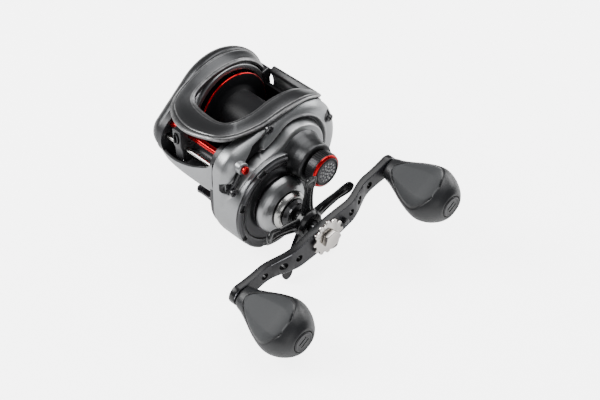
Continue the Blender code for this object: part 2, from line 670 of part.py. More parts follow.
def build_knob(name, sign):
    centre = knob_centre(sign)
    axis = pivot(f"{name}_axis", 69, centre)
    rings = []
    for x, wide, thick in KNOB:
        ring = []
        for i in range(24):
            turn = 2 * math.pi * i / 24
            c, s = math.cos(turn), math.sin(turn)
            u = wide * math.copysign(abs(c) ** 0.86, c)
            v = thick * math.copysign(abs(s) ** 0.86, s)
            ring.append(at(x, centre[0] + u * math.cos(KNOB_FACE) - v * math.sin(KNOB_FACE),
                           centre[1] + u * math.sin(KNOB_FACE) + v * math.cos(KNOB_FACE)))
        rings.append(ring)
    knob = add(name, loft(rings), "grip", axis)
    cut(knob, add(f"{name}_bore", rod(52, 80, 2.3, centre, 20), None, axis),
        add(f"{name}_seat", rod(83.2, 86, 4.6, centre, 24), None, axis))
    add(f"{name}_cap", rod(83.5, 85.0, 4.3, centre, 24, 0.4), "black", axis)


def build_knob_post(name, sign, axis):
    centre = knob_centre(sign)
    face = crank_x(CRANK_HALF)
    add(name, turned([(face + 0.3, 0), (face + 0.3, 2.0), (79.4, 2.0), (79.4, 0)], centre, 20), "steel", axis)


# ---------------------------------------------------------------- palm side

PALM_STATIONS = [(PALM_START, 0.6), (-20.8, 0.0), (-23.0, 0.4), (-25.4, 2.0), (-27.2, 5.0), (-28.2, 9.0)]


def build_palm_side():
    cover = add("palm_cover", loft(shell_rings(PALM_COVER_SIDE, PALM_STATIONS, (-8, -1), 44, -21.0)), "gunmetal")
    cut(
        cover,
        add("palm_cavity", tube(-26.0, -19, 7.6, 18.0, SPOOL, 36), None),
        add("palm_bearing_pocket", rod(-25.2, -19, 5.3, SPOOL, 24), None),
        add("dial_recess", rod(-30, -27.0, 8.6, SPOOL, 32), None),
    )
    add("spool_bearing_palm", tube(-23.8, -21.4, 1.6, 5.0, SPOOL, 24), "steel")
    add("brake_magnet_ring", tube(-25.0, -18.6, 12.9, 15.4, SPOOL, 32), "steel")
    axis = pivot("brake_dial_axis", -28, SPOOL)
    edge = []
    for i in range(48):
        r = 8.2 if i % 3 else 7.8
        turn = 2 * math.pi * i / 48
        edge.append((r * math.cos(turn), r * math.sin(turn)))
    dial = add("brake_dial", prism(edge, -28.9, -27.3), "gunmetal", axis)
    grip = add("dial_grip", prism([(-6.6, -1.1), (6.6, -1.1), (6.6, 1.1), (-6.6, 1.1)], -30.2, -28.5), None, axis)
    join(dial, grip)


# ---------------------------------------------------------------- thumb bar and clutch

# Side outline of the bar behind the spool
THUMB_SIDE = [(22.4, -1.0), (24.4, -1.0), (25.6, 3.6), (25.2, 8.0), (24.0, 10.2), (22.8, 10.6),
              (21.2, 9.2), (21.2, 8.0), (22.4, 5.8), (22.9, 3.0)]


def build_clutch():
    add("thumb_bar", prism(THUMB_SIDE, -12.6, 12.5), "gunmetal", pivot("thumb_bar_slide", 0, (23, 5)))
    fork = [(6.6, 3.2), (8.6, 1.6), (8.6, -1.6), (6.6, -3.2), (2.0, -8.2), (-1.6, -8.2), (-1.6, -6.6), (1.0, -5.6),
            (4.4, -1.6), (4.4, 1.6), (1.0, 5.6), (-1.6, 6.6), (-1.6, 8.2), (2.0, 8.2)]
    add("clutch_yoke", prism(fork, 16.0, 17.3), "steel", pivot("yoke_slide", 18, SPOOL))


def build_tension_cap():
    axis = pivot("tension_cap_axis", 36, SPOOL)
    edge = []
    for i in range(36):
        r = 7.2 if i % 3 else 6.7
        turn = 2 * math.pi * i / 36
        edge.append((r * math.cos(turn), r * math.sin(turn)))
    cap = add("tension_cap", prism(edge, 36.3, 41.0), "black", axis)
    face = add("tension_cap_face", turned([(40.4, 0), (40.4, 6.6), (41.4, 6.5), (42.2, 5.6), (42.2, 0)], SPOOL, 28),
               None, axis)
    stem = add("tension_cap_stem", rod(30.8, 37.0, 5.0, SPOOL, 28), None, axis)
    join(cap, face, stem)
    cut(cap, add("tension_cap_bore", rod(30, 34.5, 1.8, SPOOL, 20), None, axis))


def main():
    clear_scene()
    build_frame()
    build_foot()
    build_hood()
    build_handle_side()
    build_trim()
    build_level_wind()
    build_line_guide()
    build_spool()
    build_pinion()
    crank_axis = pivot("crank_axis", 44, DRIVE)
    build_drive(crank_axis)
    build_star()
    build_crank(crank_axis)
    for name, sign in (("knob_rear", 1), ("knob_front", -1)):
        build_knob(name, sign)
        build_knob_post(f"{name}_post", sign, crank_axis)
    build_palm_side()
    build_clutch()
    build_tension_cap()


main()
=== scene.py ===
import json
import math

import bmesh
import bpy
import numpy as np
from mathutils import Matrix, Vector

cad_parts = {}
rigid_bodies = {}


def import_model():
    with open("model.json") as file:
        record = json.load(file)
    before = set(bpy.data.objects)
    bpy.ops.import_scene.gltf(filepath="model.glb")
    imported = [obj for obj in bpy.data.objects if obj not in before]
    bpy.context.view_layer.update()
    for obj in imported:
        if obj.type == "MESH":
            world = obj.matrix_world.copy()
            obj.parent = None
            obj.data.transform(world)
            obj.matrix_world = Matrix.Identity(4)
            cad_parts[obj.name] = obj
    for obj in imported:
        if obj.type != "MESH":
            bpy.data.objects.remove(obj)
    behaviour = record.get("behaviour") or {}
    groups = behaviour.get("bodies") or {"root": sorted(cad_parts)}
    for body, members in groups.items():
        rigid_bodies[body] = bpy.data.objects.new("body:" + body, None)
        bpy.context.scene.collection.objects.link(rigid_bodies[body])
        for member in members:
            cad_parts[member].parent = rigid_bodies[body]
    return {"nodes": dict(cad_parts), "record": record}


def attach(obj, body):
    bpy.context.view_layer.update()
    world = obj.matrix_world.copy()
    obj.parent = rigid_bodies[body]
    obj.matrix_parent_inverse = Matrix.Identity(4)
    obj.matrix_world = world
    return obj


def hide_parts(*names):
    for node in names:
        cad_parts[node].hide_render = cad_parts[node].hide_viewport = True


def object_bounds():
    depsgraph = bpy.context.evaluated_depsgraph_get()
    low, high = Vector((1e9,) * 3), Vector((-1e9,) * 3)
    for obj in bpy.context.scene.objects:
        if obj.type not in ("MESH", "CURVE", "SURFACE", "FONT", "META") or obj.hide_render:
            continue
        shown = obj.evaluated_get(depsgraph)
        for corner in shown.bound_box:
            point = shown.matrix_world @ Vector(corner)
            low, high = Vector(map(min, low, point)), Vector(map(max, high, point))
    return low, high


for leftover in list(bpy.data.objects):
    bpy.data.objects.remove(leftover, do_unlink=True)
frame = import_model()
cad_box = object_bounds()

# Lengths are in millimetres until a mesh is made. A place (y, h) is in the side view, measured
# from the spool's axis, and X runs out towards the crank.
MM = 0.001
SPOOL_Z = 21.5
TURN = 2 * math.pi
SMOOTH_ANGLE = 32
SPOOL = (0.0, 0.0)
DRIVE = (-15.3, -13.3)
WORM = (-25.5, -0.8)
RED_BAR = (-27.0, 5.6)
GUIDE_ROD = (-30.3, 1.2)

# Outlines of the plates and covers: the hull of these circles (y, h, radius)
GEAR_SIDE = [(3.0, -2.0, 21.3), (-25.5, 3.5, 9.8), (*DRIVE, 20.2)]
PLATE_SIDE = [(3.0, -2.0, 20.8), (-25.0, 3.5, 9.4), (*DRIVE, 19.4)]
PALM_SIDE = [(1.0, -1.0, 20.5), (-24.0, -0.5, 9.8)]
PALM_COVER_SIDE = [(1.0, -0.3, 24.2), (-24.3, -1.0, 8.4)]


# --- shape helpers

def at(x, y, h):
    """A point from its station along X and its place in the side view, in millimetres."""
    return (x, y, h + SPOOL_Z)


def smoothstep(value):
    t = np.clip(value, 0.0, 1.0)
    return t * t * (3 - 2 * t)


def bell(value, middle, width):
    return np.exp(-((value - middle) / width) ** 2)


def place(centre, turn, along, across=0.0):
    """The place reached from a centre by going along a direction and then across it."""
    c, s = math.cos(turn), math.sin(turn)
    return (centre[0] + along * c - across * s, centre[1] + along * s + across * c)


def around(steps):
    return np.linspace(0, TURN, steps, endpoint=False)


def directions(turns):
    return np.stack([np.cos(turns), np.sin(turns)], 1)


def level(x, places):
    """A ring of points at one station along X."""
    return [at(x, *p) for p in places]


def hull(circles, shrink=0.0):
    """Convex hull of circles (y, h, radius), anticlockwise."""
    points = sorted({place((y, h), t, r - shrink)
                     for y, h, r in circles for t in around(120)})

    def half(ordered):
        chain = []
        for p in ordered:
            while len(chain) > 1:
                a, b = chain[-2], chain[-1]
                turn = (b[0] - a[0]) * (p[1] - a[1]) - (b[1] - a[1]) * (p[0] - a[0])
                if turn > 0:
                    break
                chain.pop()
            chain.append(p)
        return chain[:-1]

    return np.array(half(points) + half(points[::-1]))


def inward(outline):
    """Start points and inward normals of a convex outline's edges."""
    edges = np.roll(outline, -1, 0) - outline
    normals = np.stack([-edges[:, 1], edges[:, 0]], 1)
    return outline, normals / np.linalg.norm(normals, axis=1)[:, None]


def depth_inside(points, outline):
    starts, normals = inward(outline)
    reach = points @ normals.T - (starts * normals).sum(1)
    return reach.min(1)


def radial(outline, centre, turns):
    """Points of a convex outline seen from a centre at the given angles."""
    starts, normals = inward(outline)
    rays = directions(turns)
    gap = ((np.array(centre) - starts) * normals).sum(1)
    slope = -(rays @ normals.T)
    reach = np.where(slope > 1e-9, gap / np.maximum(slope, 1e-9), np.inf).min(1)
    return np.array(centre) + rays * reach[:, None]


def smooth_path(points, count):
    """Catmull-Rom curve through stations of any width, sampled evenly."""
    points = [np.array(p, float) for p in points]
    ends = [points[0], *points, points[-1]]
    made = []
    spans = len(points) - 1
    for k in range(count):
        place = k * spans / (count - 1)
        i = min(int(place), spans - 1)
        t = place - i
        a, b, c, d = ends[i:i + 4]
        made.append(0.5 * (2 * b + (c - a) * t + (2 * a - 5 * b + 4 * c - d) * t ** 2
                           + (3 * b - a - 3 * c + d) * t ** 3))
    return made


def skin(rings, closed=False):
    """Quads over a list of equal rings; ends capped, or joined when closed."""
    count = len(rings[0])
    verts = [tuple(p) for ring in rings for p in ring]
    faces = []
    pairs = [(k, k + 1) for k in range(len(rings) - 1)]
    if closed:
        pairs.append((len(rings) - 1, 0))
    for low, high in pairs:
        for i in range(count):
            j = (i + 1) % count
            faces.append((low * count + i, low * count + j,
                          high * count + j, high * count + i))
    if not closed:
        faces.append(tuple(range(count))[::-1])
        faces.append(tuple((len(rings) - 1) * count + i for i in range(count)))
    return verts, faces


def lathe(profile, centre=SPOOL, steps=96):
    """Closed solid turned about an X-parallel axis from (x, radius) points."""
    turns = around(steps)
    verts, faces, rows = [], [], []
    for x, r in profile:
        rows.append((len(verts), 1 if r == 0 else steps))
        verts += [at(x, *centre)] if r == 0 else level(x, [place(centre, t, r) for t in turns])
    pairs = list(zip(rows, rows[1:]))
    if profile[0][1] > 0:
        pairs.append((rows[-1], rows[0]))
    for (low, many_low), (high, many_high) in pairs:
        for i in range(steps):
            j = (i + 1) % steps
            corners = [low + i % many_low, low + j % many_low,
                       high + j % many_high, high + i % many_high]
            faces.append(tuple(dict.fromkeys(corners)))
    return verts, faces


def drum(x0, x1, radius, centre=SPOOL, steps=48):
    return lathe([(x0, 0), (x0, radius), (x1, radius), (x1, 0)], centre, steps)


def soften(profile, radius=0.25, steps=3):
    """Round every outer corner of a turned profile."""
    made = []
    for i, p in enumerate(profile):
        if i in (0, len(profile) - 1) or p[1] == 0:
            made.append(p)
            continue
        here = Vector(p)
        back, on = Vector(profile[i - 1]) - here, Vector(profile[i + 1]) - here
        size = min(radius, back.length * 0.45, on.length * 0.45)
        if size < 0.03:
            made.append(p)
            continue
        a, b = here + back.normalized() * size, here + on.normalized() * size
        for k in range(steps + 1):
            t = k / steps
            q = a * (1 - t) ** 2 + here * 2 * t * (1 - t) + b * t ** 2
            made.append((q.x, q.y))
    return made


def together(*parts):
    """Several closed shells as one mesh."""
    verts, faces = [], []
    for part_verts, part_faces in parts:
        start = len(verts)
        verts += list(part_verts)
        faces += [tuple(start + i for i in f) for f in part_faces]
    return verts, faces


def prism(outline, x0, x1):
    return skin([level(x, outline) for x in (x0, x1)])


def add(name, data):
    obj = bpy.data.objects.new(name, data)
    bpy.context.scene.collection.objects.link(obj)
    return obj


def mesh_object(name, shape, angle=SMOOTH_ANGLE, bevel=0.0, segments=2):
    """An object in metres, smooth apart from its sharp edges, which may be bevelled."""
    verts, faces = shape
    mesh = bpy.data.meshes.new(name)
    mesh.from_pydata([tuple(c * MM for c in v) for v in verts], [], faces)
    bm = bmesh.new()
    bm.from_mesh(mesh)
    bmesh.ops.remove_doubles(bm, verts=bm.verts, dist=1e-7)
    bmesh.ops.recalc_face_normals(bm, faces=bm.faces)
    bm.to_mesh(mesh)
    bm.free()
    obj = add(name, mesh)
    if bevel:
        modify(obj, "BEVEL", width=bevel * MM, segments=segments, limit_method="ANGLE",
               angle_limit=math.radians(angle))
    shade(obj, angle)
    return obj


def turned(name, profile, centre=SPOOL, steps=96, corner=0.2, angle=SMOOTH_ANGLE):
    """A turned object with its profile's outer corners rounded."""
    return mesh_object(name, lathe(soften(profile, corner), centre, steps), angle=angle)


def shade(obj, angle=SMOOTH_ANGLE):
    obj.data.shade_smooth()
    obj.data.set_sharp_from_angle(angle=math.radians(angle))


def modify(obj, kind, **settings):
    """Change an object's mesh with one modifier, then make the result plain."""
    change = obj.modifiers.new(kind.lower(), kind)
    for key, value in settings.items():
        setattr(change, key, value)
    bake(obj)


def bake(obj):
    """Replace an object's mesh by what its modifiers make."""
    graph = bpy.context.evaluated_depsgraph_get()
    mesh = bpy.data.meshes.new_from_object(obj.evaluated_get(graph))
    obj.modifiers.clear()
    obj.data = mesh


def cut(obj, tool):
    modify(obj, "BOOLEAN", object=tool, operation="DIFFERENCE")
    bpy.data.objects.remove(tool, do_unlink=True)


def carve(obj, *shapes):
    """Cut closed shapes out of an object."""
    for i, shape in enumerate(shapes):
        cut(obj, mesh_object(f"{obj.name}_tool_{i}", shape))
    shade(obj)


def dress(obj, finish_made, slot, stands_for=(), body="frame", rub_and_highlight=0.0):
    """Give a finished piece its material, its body and the CAD nodes it stands for."""
    if rub_and_highlight:
        mark_edges(obj, rub_and_highlight)
    if not obj.data.materials:
        obj.data.materials.append(None)
    for i, present in enumerate(obj.data.materials):
        obj.data.materials[i] = present or finish_made
    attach(obj, body)
    if stands_for:
        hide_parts(*([stands_for] if isinstance(stands_for, str) else stands_for))


def off_axis(point, centre):
    return math.hypot(point.y - centre[0], point.z - centre[1])


def paint_faces(obj, material, chosen):
    """Give some faces their own material; chosen(centre in mm, normal) picks them."""
    index = len(obj.data.materials)
    obj.data.materials.append(material)
    for face in obj.data.polygons:
        centre = face.center / MM
        if chosen(Vector((centre.x, centre.y, centre.z - SPOOL_Z)), face.normal):
            face.material_index = index


# --- materials

def group(name, inputs, outputs):
    """A shader group of float sockets: its tree, what its inputs give, and its end node."""
    tree = bpy.data.node_groups.new(name, "ShaderNodeTree")
    for label in (*inputs, *outputs):
        side = "INPUT" if label in inputs else "OUTPUT"
        socket = tree.interface.new_socket(label, in_out=side, socket_type="NodeSocketFloat")
        socket.default_value = inputs.get(label, 0.0)
    return tree, tree.nodes.new("NodeGroupInput").outputs, tree.nodes.new("NodeGroupOutput")


def feed(tree, socket, value):
    """Link a socket from another one, or give it a value."""
    if isinstance(value, bpy.types.NodeSocket):
        tree.links.new(value, socket)
    else:
        socket.default_value = value


def node(tree, kind, **values):
    """A node with its settings and its named inputs, an underscore standing for a space."""
    made = tree.nodes.new(kind)
    for key, value in values.items():
        if hasattr(made, key):
            setattr(made, key, value)
        else:
            feed(tree, made.inputs[key.replace("_", " ")], value)
    return made


def math_node(tree, operation, *values, clamp=False):
    made = node(tree, "ShaderNodeMath", operation=operation, use_clamp=clamp)
    for socket, value in zip(made.inputs, values):
        feed(tree, socket, value)
    return made.outputs[0]


def mix(tree, share, first, second, blend="MIX"):
    """A colour between two others, or one laid over the other."""
    made = node(tree, "ShaderNodeMix", data_type="RGBA", blend_type=blend)
    for index, value in ((0, share), (6, first), (7, second)):
        feed(tree, made.inputs[index], value)
    return made.outputs[2]


def build_grain():
    """Fine paint or moulding grain: a height for bump, a slow drift of tone, and specks."""
    tree, start, end = group("surface_grain", {"Size": 1.0, "Drift": 0.1},
                             ("Height", "Tone", "Speck"))
    where = node(tree, "ShaderNodeTexCoord").outputs["Object"]
    fine = node(tree, "ShaderNodeTexNoise", Detail=3.0, Roughness=0.6, Vector=where,
                Scale=math_node(tree, "MULTIPLY", start["Size"], 4200.0))
    slow = node(tree, "ShaderNodeTexNoise", Scale=55.0, Detail=4.0, Roughness=0.55, Vector=where)
    centred = math_node(tree, "SUBTRACT", slow.outputs["Fac"], 0.5)
    flakes = node(tree, "ShaderNodeTexVoronoi", Scale=5200.0, Vector=where)
    feed(tree, end.inputs["Height"], fine.outputs["Fac"])
    feed(tree, end.inputs["Tone"], math_node(tree, "MULTIPLY_ADD", centred, start["Drift"], 1.0))
    feed(tree, end.inputs["Speck"], flakes.outputs["Color"])
    return tree


def build_wear_and_highlight():
    """Where edges are rubbed and painted highlights lie: the piece's own edge attribute, broken up
    by noise.
    """
    tree, start, end = group("edge_wear_and_highlight", {"Reach": 0.5, "Break": 900.0}, ["Mask"])
    edge = node(tree, "ShaderNodeAttribute", attribute_name="edge")
    noise = node(tree, "ShaderNodeTexNoise", Detail=4.0, Scale=start["Break"],
                 Vector=node(tree, "ShaderNodeTexCoord").outputs["Object"])
    broken = math_node(tree, "MULTIPLY", edge.outputs["Fac"], noise.outputs["Fac"])
    feed(tree, end.inputs["Mask"], math_node(tree, "MULTIPLY", broken, start["Reach"], clamp=True))
    return tree


def build_painted_shade_and_inset():
    """Darkening from the piece's own shade attribute: painted shade in valleys, wells and grooves,
    dark insets, and the cap boss darker towards the cap.
    """
    tree, start, end = group("recess_shade_and_inset", {"Amount": 1.0}, ["Mask"])
    low = node(tree, "ShaderNodeAttribute", attribute_name="shade").outputs["Fac"]
    feed(tree, end.inputs["Mask"], math_node(tree, "MULTIPLY", low, start["Amount"], clamp=True))
    return tree


GRAIN, WEAR_AND_HIGHLIGHT, SHADE_AND_INSET_GROUP = build_grain(), build_wear_and_highlight(), build_painted_shade_and_inset()


def use_group(tree, shared, **values):
    return node(tree, "ShaderNodeGroup", node_tree=shared, **values).outputs


def finish(name, colour, metallic, roughness, grain=0.05, size=1.0, drift=0.12, speck=0.0,
           coat=0.0, rub_and_highlight=None, rub_and_highlight_reach=1.0, low=None, shine=0.5):
    """A material: colour with drift and specks, painted shade in recesses, rubbed edges with
    painted highlights, and grain bump.
    """
    made = bpy.data.materials.new(name)
    made.use_nodes = True
    tree = made.node_tree
    shader = tree.nodes["Principled BSDF"].inputs
    shader["Metallic"].default_value = metallic
    shader["Specular IOR Level"].default_value = shine
    if coat:
        shader["Coat Weight"].default_value = coat
        shader["Coat Roughness"].default_value = 0.08
    surface = use_group(tree, GRAIN, Size=size, Drift=drift)
    shown = mix(tree, 1.0, (*colour, 1), surface["Tone"], "MULTIPLY")
    if speck:
        shown = mix(tree, speck, shown, surface["Speck"], "OVERLAY")
    # painted shade: the low colour laid where the shade attribute marks low places, besides dark
    # insets
    if low is not None:
        shown = mix(tree, use_group(tree, SHADE_AND_INSET_GROUP)["Mask"], shown, (*low, 1))
    # rubbed paint and painted highlights: the rub colour laid on marked edges, ridges and creases
    if rub_and_highlight is not None:
        shown = mix(tree, use_group(tree, WEAR_AND_HIGHLIGHT, Reach=rub_and_highlight_reach)["Mask"], shown, (*rub_and_highlight, 1))
    rough = math_node(tree, "MULTIPLY", surface["Tone"], roughness, clamp=True)
    bump = node(tree, "ShaderNodeBump", Strength=grain, Distance=0.00005,
                Height=surface["Height"])
    feed(tree, shader["Base Color"], shown)
    feed(tree, shader["Roughness"], rough)
    feed(tree, shader["Normal"], bump.outputs["Normal"])
    return made


# colour of painted shade in grooves and recesses
PAINTED_SHADE_COLOUR = (0.012, 0.012, 0.013)

# the rub colours below are rubbed paint together with painted highlights on edges, ridges and
# creases
GUNMETAL = finish("gunmetal_paint", (0.058, 0.059, 0.061), 0.85, 0.34, grain=0.10, speck=0.10,
                  rub_and_highlight=(0.46, 0.46, 0.46), rub_and_highlight_reach=0.9, low=PAINTED_SHADE_COLOUR)
# silver's low colour is painted shade in the cover's valleys and wells, and the leaf inset's own
# dark
SILVER = finish("silver_paint", (0.30, 0.306, 0.312), 0.9, 0.35, grain=0.10, speck=0.10,
                rub_and_highlight=(0.5, 0.5, 0.5), rub_and_highlight_reach=0.8, low=(0.02, 0.02, 0.021))
GLOSS_BLACK = finish("gloss_black", (0.012, 0.012, 0.014), 0.0, 0.14, grain=0.03, coat=0.6,
                     rub_and_highlight=(0.12, 0.12, 0.13))
SATIN_BLACK = finish("satin_black", (0.022, 0.022, 0.024), 0.2, 0.38, grain=0.12,
                     rub_and_highlight=(0.12, 0.12, 0.12))
CHARCOAL = finish("charcoal_anodised", (0.012, 0.012, 0.015), 0.0, 0.36, grain=0.2, size=0.8,
                  speck=0.06, shine=0.35)
CRANK_BLACK = finish("crank_black", (0.008, 0.008, 0.009), 0.0, 0.26, grain=0.04, shine=0.35)
CHAMFER = finish("bright_chamfer", (0.3, 0.3, 0.32), 1.0, 0.25, grain=0.03)
SPOOL_BLACK = finish("spool_black", (0.005, 0.005, 0.006), 0.0, 0.46, grain=0.06, shine=0.22)
STAR_BLACK = finish("star_black", (0.009, 0.009, 0.010), 0.0, 0.24, grain=0.04, shine=0.45)
CAP_BLACK = finish("cap_black", (0.03, 0.03, 0.032), 0.7, 0.34, grain=0.08, rub_and_highlight=(0.2, 0.2, 0.2))
RED = finish("red_anodised", (0.46, 0.002, 0.006), 0.8, 0.22, grain=0.04, drift=0.08,
             rub_and_highlight=(0.6, 0.03, 0.03))
STEEL = finish("machined_steel", (0.48, 0.475, 0.46), 1.0, 0.24, grain=0.06, drift=0.1)
DARK_STEEL = finish("dark_steel", (0.07, 0.07, 0.072), 1.0, 0.3, grain=0.06)
STEEL_GREY = finish("brushed_grey", (0.55, 0.55, 0.56), 1.0, 0.35, grain=0.1)
NICKEL = finish("bright_nickel", (0.56, 0.53, 0.50), 1.0, 0.24, grain=0.05, drift=0.16,
                rub_and_highlight=(0.85, 0.83, 0.8))
BRASS = finish("gear_brass", (0.62, 0.44, 0.18), 1.0, 0.28, grain=0.06)
RING_DARK = finish("ring_gunmetal", (0.055, 0.055, 0.058), 0.85, 0.32, grain=0.08,
                   rub_and_highlight=(0.4, 0.4, 0.4))
NOTCH_EDGE = finish("notch_edge", (0.45, 0.45, 0.45), 1.0, 0.28, grain=0.04)
DOME = finish("satin_dome", (0.34, 0.345, 0.35), 1.0, 0.32, grain=0.08, drift=0.05,
              rub_and_highlight=(0.6, 0.6, 0.6))
GRIP = finish("soft_grip", (0.010, 0.0105, 0.012), 0.0, 0.4, grain=0.5, size=0.55, drift=0.2,
              low=PAINTED_SHADE_COLOUR)
GRIP_FACE = finish("grip_panel", (0.032, 0.034, 0.036), 0.0, 0.6, grain=0.7, size=0.4,
                   drift=0.25, low=PAINTED_SHADE_COLOUR)
CARBON = finish("moulded_nylon", (0.03, 0.03, 0.032), 0.0, 0.55, grain=0.3, size=0.5)
SPECKLED = finish("speckled_disc", (0.14, 0.14, 0.15), 0.5, 0.45, grain=0.8, size=0.18,
                  drift=1.2, speck=0.9)


def mark(obj, name, values):
    """Store a number per vertex for a material to read."""
    layer = obj.data.attributes.new(name, "FLOAT", "POINT")
    layer.data.foreach_set("value", np.asarray(values, np.float32))


def mark_edges(obj, reach):
    """Mark vertices on bent edges, for rubbed paint and painted highlights."""
    bm = bmesh.new()
    bm.from_mesh(obj.data)
    values = np.zeros(len(bm.verts))
    for edge in bm.edges:
        if len(edge.link_faces) == 2 and edge.is_convex:
            bend = edge.calc_face_angle(0.0)
            if bend > 0.25:
                for vert in edge.verts:
                    values[vert.index] = max(values[vert.index], min(1.0, bend * reach))
    bm.free()
    mark(obj, "edge", values)


# --- repeats

def build_round_repeat():
    """Copies of the input shape set evenly round the X axis, each turned to face out."""
    tree = bpy.data.node_groups.new("round_repeat", "GeometryNodeTree")
    for label, kind in (("Geometry", "Geometry"), ("Count", "Int"), ("First Turn", "Float"),
                        ("Finish", "Material")):
        tree.interface.new_socket(label, in_out="INPUT", socket_type=f"NodeSocket{kind}")
    tree.interface.new_socket("Geometry", in_out="OUTPUT", socket_type="NodeSocketGeometry")
    start = tree.nodes.new("NodeGroupInput").outputs
    end = tree.nodes.new("NodeGroupOutput")
    points = node(tree, "GeometryNodePoints", Count=start["Count"])
    step = math_node(tree, "DIVIDE", TURN, start["Count"])
    index = node(tree, "GeometryNodeInputIndex")
    turn = math_node(tree, "MULTIPLY_ADD", index.outputs[0], step, start["First Turn"])
    rotation = node(tree, "ShaderNodeCombineXYZ", X=turn)
    copies = node(tree, "GeometryNodeInstanceOnPoints", Points=points.outputs[0],
                  Instance=start["Geometry"], Rotation=rotation.outputs[0])
    real = node(tree, "GeometryNodeRealizeInstances", Geometry=copies.outputs[0])
    paint = node(tree, "GeometryNodeSetMaterial", Geometry=real.outputs[0],
                 Material=start["Finish"])
    feed(tree, end.inputs[0], paint.outputs[0])
    return tree


ROUND_REPEAT = build_round_repeat()


def repeat_round(name, shape, count, centre, finish_made, first_turn=0.0, bevel=0.0):
    """One mesh of count copies of a shape given round the X axis through the origin."""
    obj = mesh_object(name, shape, bevel=bevel)
    change = obj.modifiers.new("repeat", "NODES")
    change.node_group = ROUND_REPEAT
    values = {"Count": count, "First Turn": first_turn, "Finish": finish_made}
    for item in ROUND_REPEAT.interface.items_tree:
        if item.name in values:
            change[item.identifier] = values[item.name]
    bake(obj)
    obj.data.transform(Matrix.Translation(Vector(at(0, *centre)) * MM))
    shade(obj)
    return obj


def bar_on_rim(x0, x1, r0, r1, half_width, lean=0.0):
    """A block between two radii, centred on the +Z direction from the X axis."""
    top = half_width - lean
    return skin([[(x, -half_width, r0), (x, half_width, r0), (x, top, r1), (x, -top, r1)]
                 for x in (x0, x1)])


# --- handle side shell

LINK_TOP = (-28.2, 8.0)
LINK_FOOT = (-33.7, -0.5)
REAR_SCREW = (18.2, 7.0)
# Across the moulded band that leaves the barrel and wraps the cap's boss: steps out, and lift
SWEEP_OUT = [-3.0, -0.1, 0.35, 0.9, 1.8, 2.6, 3.2, 4.0, 6.0]
SWEEP_LIFT = [1.5, 1.7, 1.6, 0.0, -1.9, -1.0, 0.5, 0.0, 0.0]
# The sunken dark leaf in front of the barrel
LEAF = [(-11.6, 15.6), (-14.2, 15.2), (-20.7, 13.2), (-26.0, 9.6), (-27.6, 4.8), (-23.4, 5.6),
        (-19.2, 7.2), (-17.2, 8.9), (-16.4, 11.6), (-13.6, 13.6)]
BARREL_RADIUS = 20.4
BARREL_BORE = 18.2


def distance(points, centre):
    return np.linalg.norm(points - np.array(centre), axis=-1)


def distance_along(points, start, stop):
    """Distance from points to the line between two places."""
    edge = stop - start
    share = np.clip(((points - start) @ edge) / (edge @ edge), 0, 1)
    return np.linalg.norm(points - start - share[..., None] * edge, axis=-1)


def polygon_reach(points, corners):
    """Signed distance from points to a polygon, negative inside."""
    corners = np.array(corners)
    nearest = np.full(points.shape[:-1], 1e9)
    inside = np.zeros(points.shape[:-1], bool)
    for a, b in zip(corners, np.roll(corners, -1, 0)):
        nearest = np.minimum(nearest, distance_along(points, a, b))
        crosses = (a[1] > points[..., 1]) != (b[1] > points[..., 1])
        at_y = a[0] + (points[..., 1] - a[1]) / (b[1] - a[1] + 1e-12) * (b[0] - a[0])
        inside ^= crosses & (points[..., 0] < at_y)
    return np.where(inside, -nearest, nearest)


def side_surface(points, outline):
    """Height, darkness and painted highlight of the moulded cover at places in the side view."""
    depth = depth_inside(points.reshape(-1, 2), outline).reshape(points.shape[:-1])
    within = smoothstep(depth / 3.0)
    height = 25.3 - 4.9 * np.exp(-np.maximum(depth, 0) / 2.6)
    barrel = distance(points, DRIVE) - BARREL_RADIUS
    boss = distance(points, SPOOL) - 12.6
    blend = np.clip(0.5 + 0.5 * (boss - barrel) / 6.0, 0, 1)
    out = boss * (1 - blend) + barrel * blend - 6.0 * blend * (1 - blend)
    lift = sum(np.interp(out + shift, SWEEP_OUT, SWEEP_LIFT) for shift in (-0.25, 0.0, 0.25)) / 3
    height = height + lift * within
    # painted shade in the valley between the band's two ridges
    dark = 0.9 * bell(out, 1.7, 0.85) * within
    # painted highlight along the band's two ridges, stored later as edge rub
    shine = (bell(out, 0.25, 0.22) + 0.8 * bell(out, 3.25, 0.3)) * within
    # the sunken leaf is dark in its own right
    leaf = smoothstep(-polygon_reach(points, LEAF) / 0.9)
    height = height - 1.5 * leaf
    dark = np.maximum(dark, leaf)
    # painted shade in the screw wells
    for centre, size, sink in ((REAR_SCREW, 2.6, 0.8), (LINK_FOOT, 2.7, 0.9)):
        well = smoothstep((size - distance(points, centre)) / 0.5)
        height = height - sink * well
        dark = np.maximum(dark, well)
    # painted shade along the channel under the link
    reach = distance_along(points, np.array(LINK_TOP), np.array(LINK_FOOT))
    channel = smoothstep((2.1 - reach) / 0.7)
    sunk = np.minimum(height, height * (1 - channel) + 24.1 * channel)
    height = np.where(channel > 0, sunk, height)
    dark = np.maximum(dark, channel * 0.9)
    return height, dark, shine * (1 - leaf)


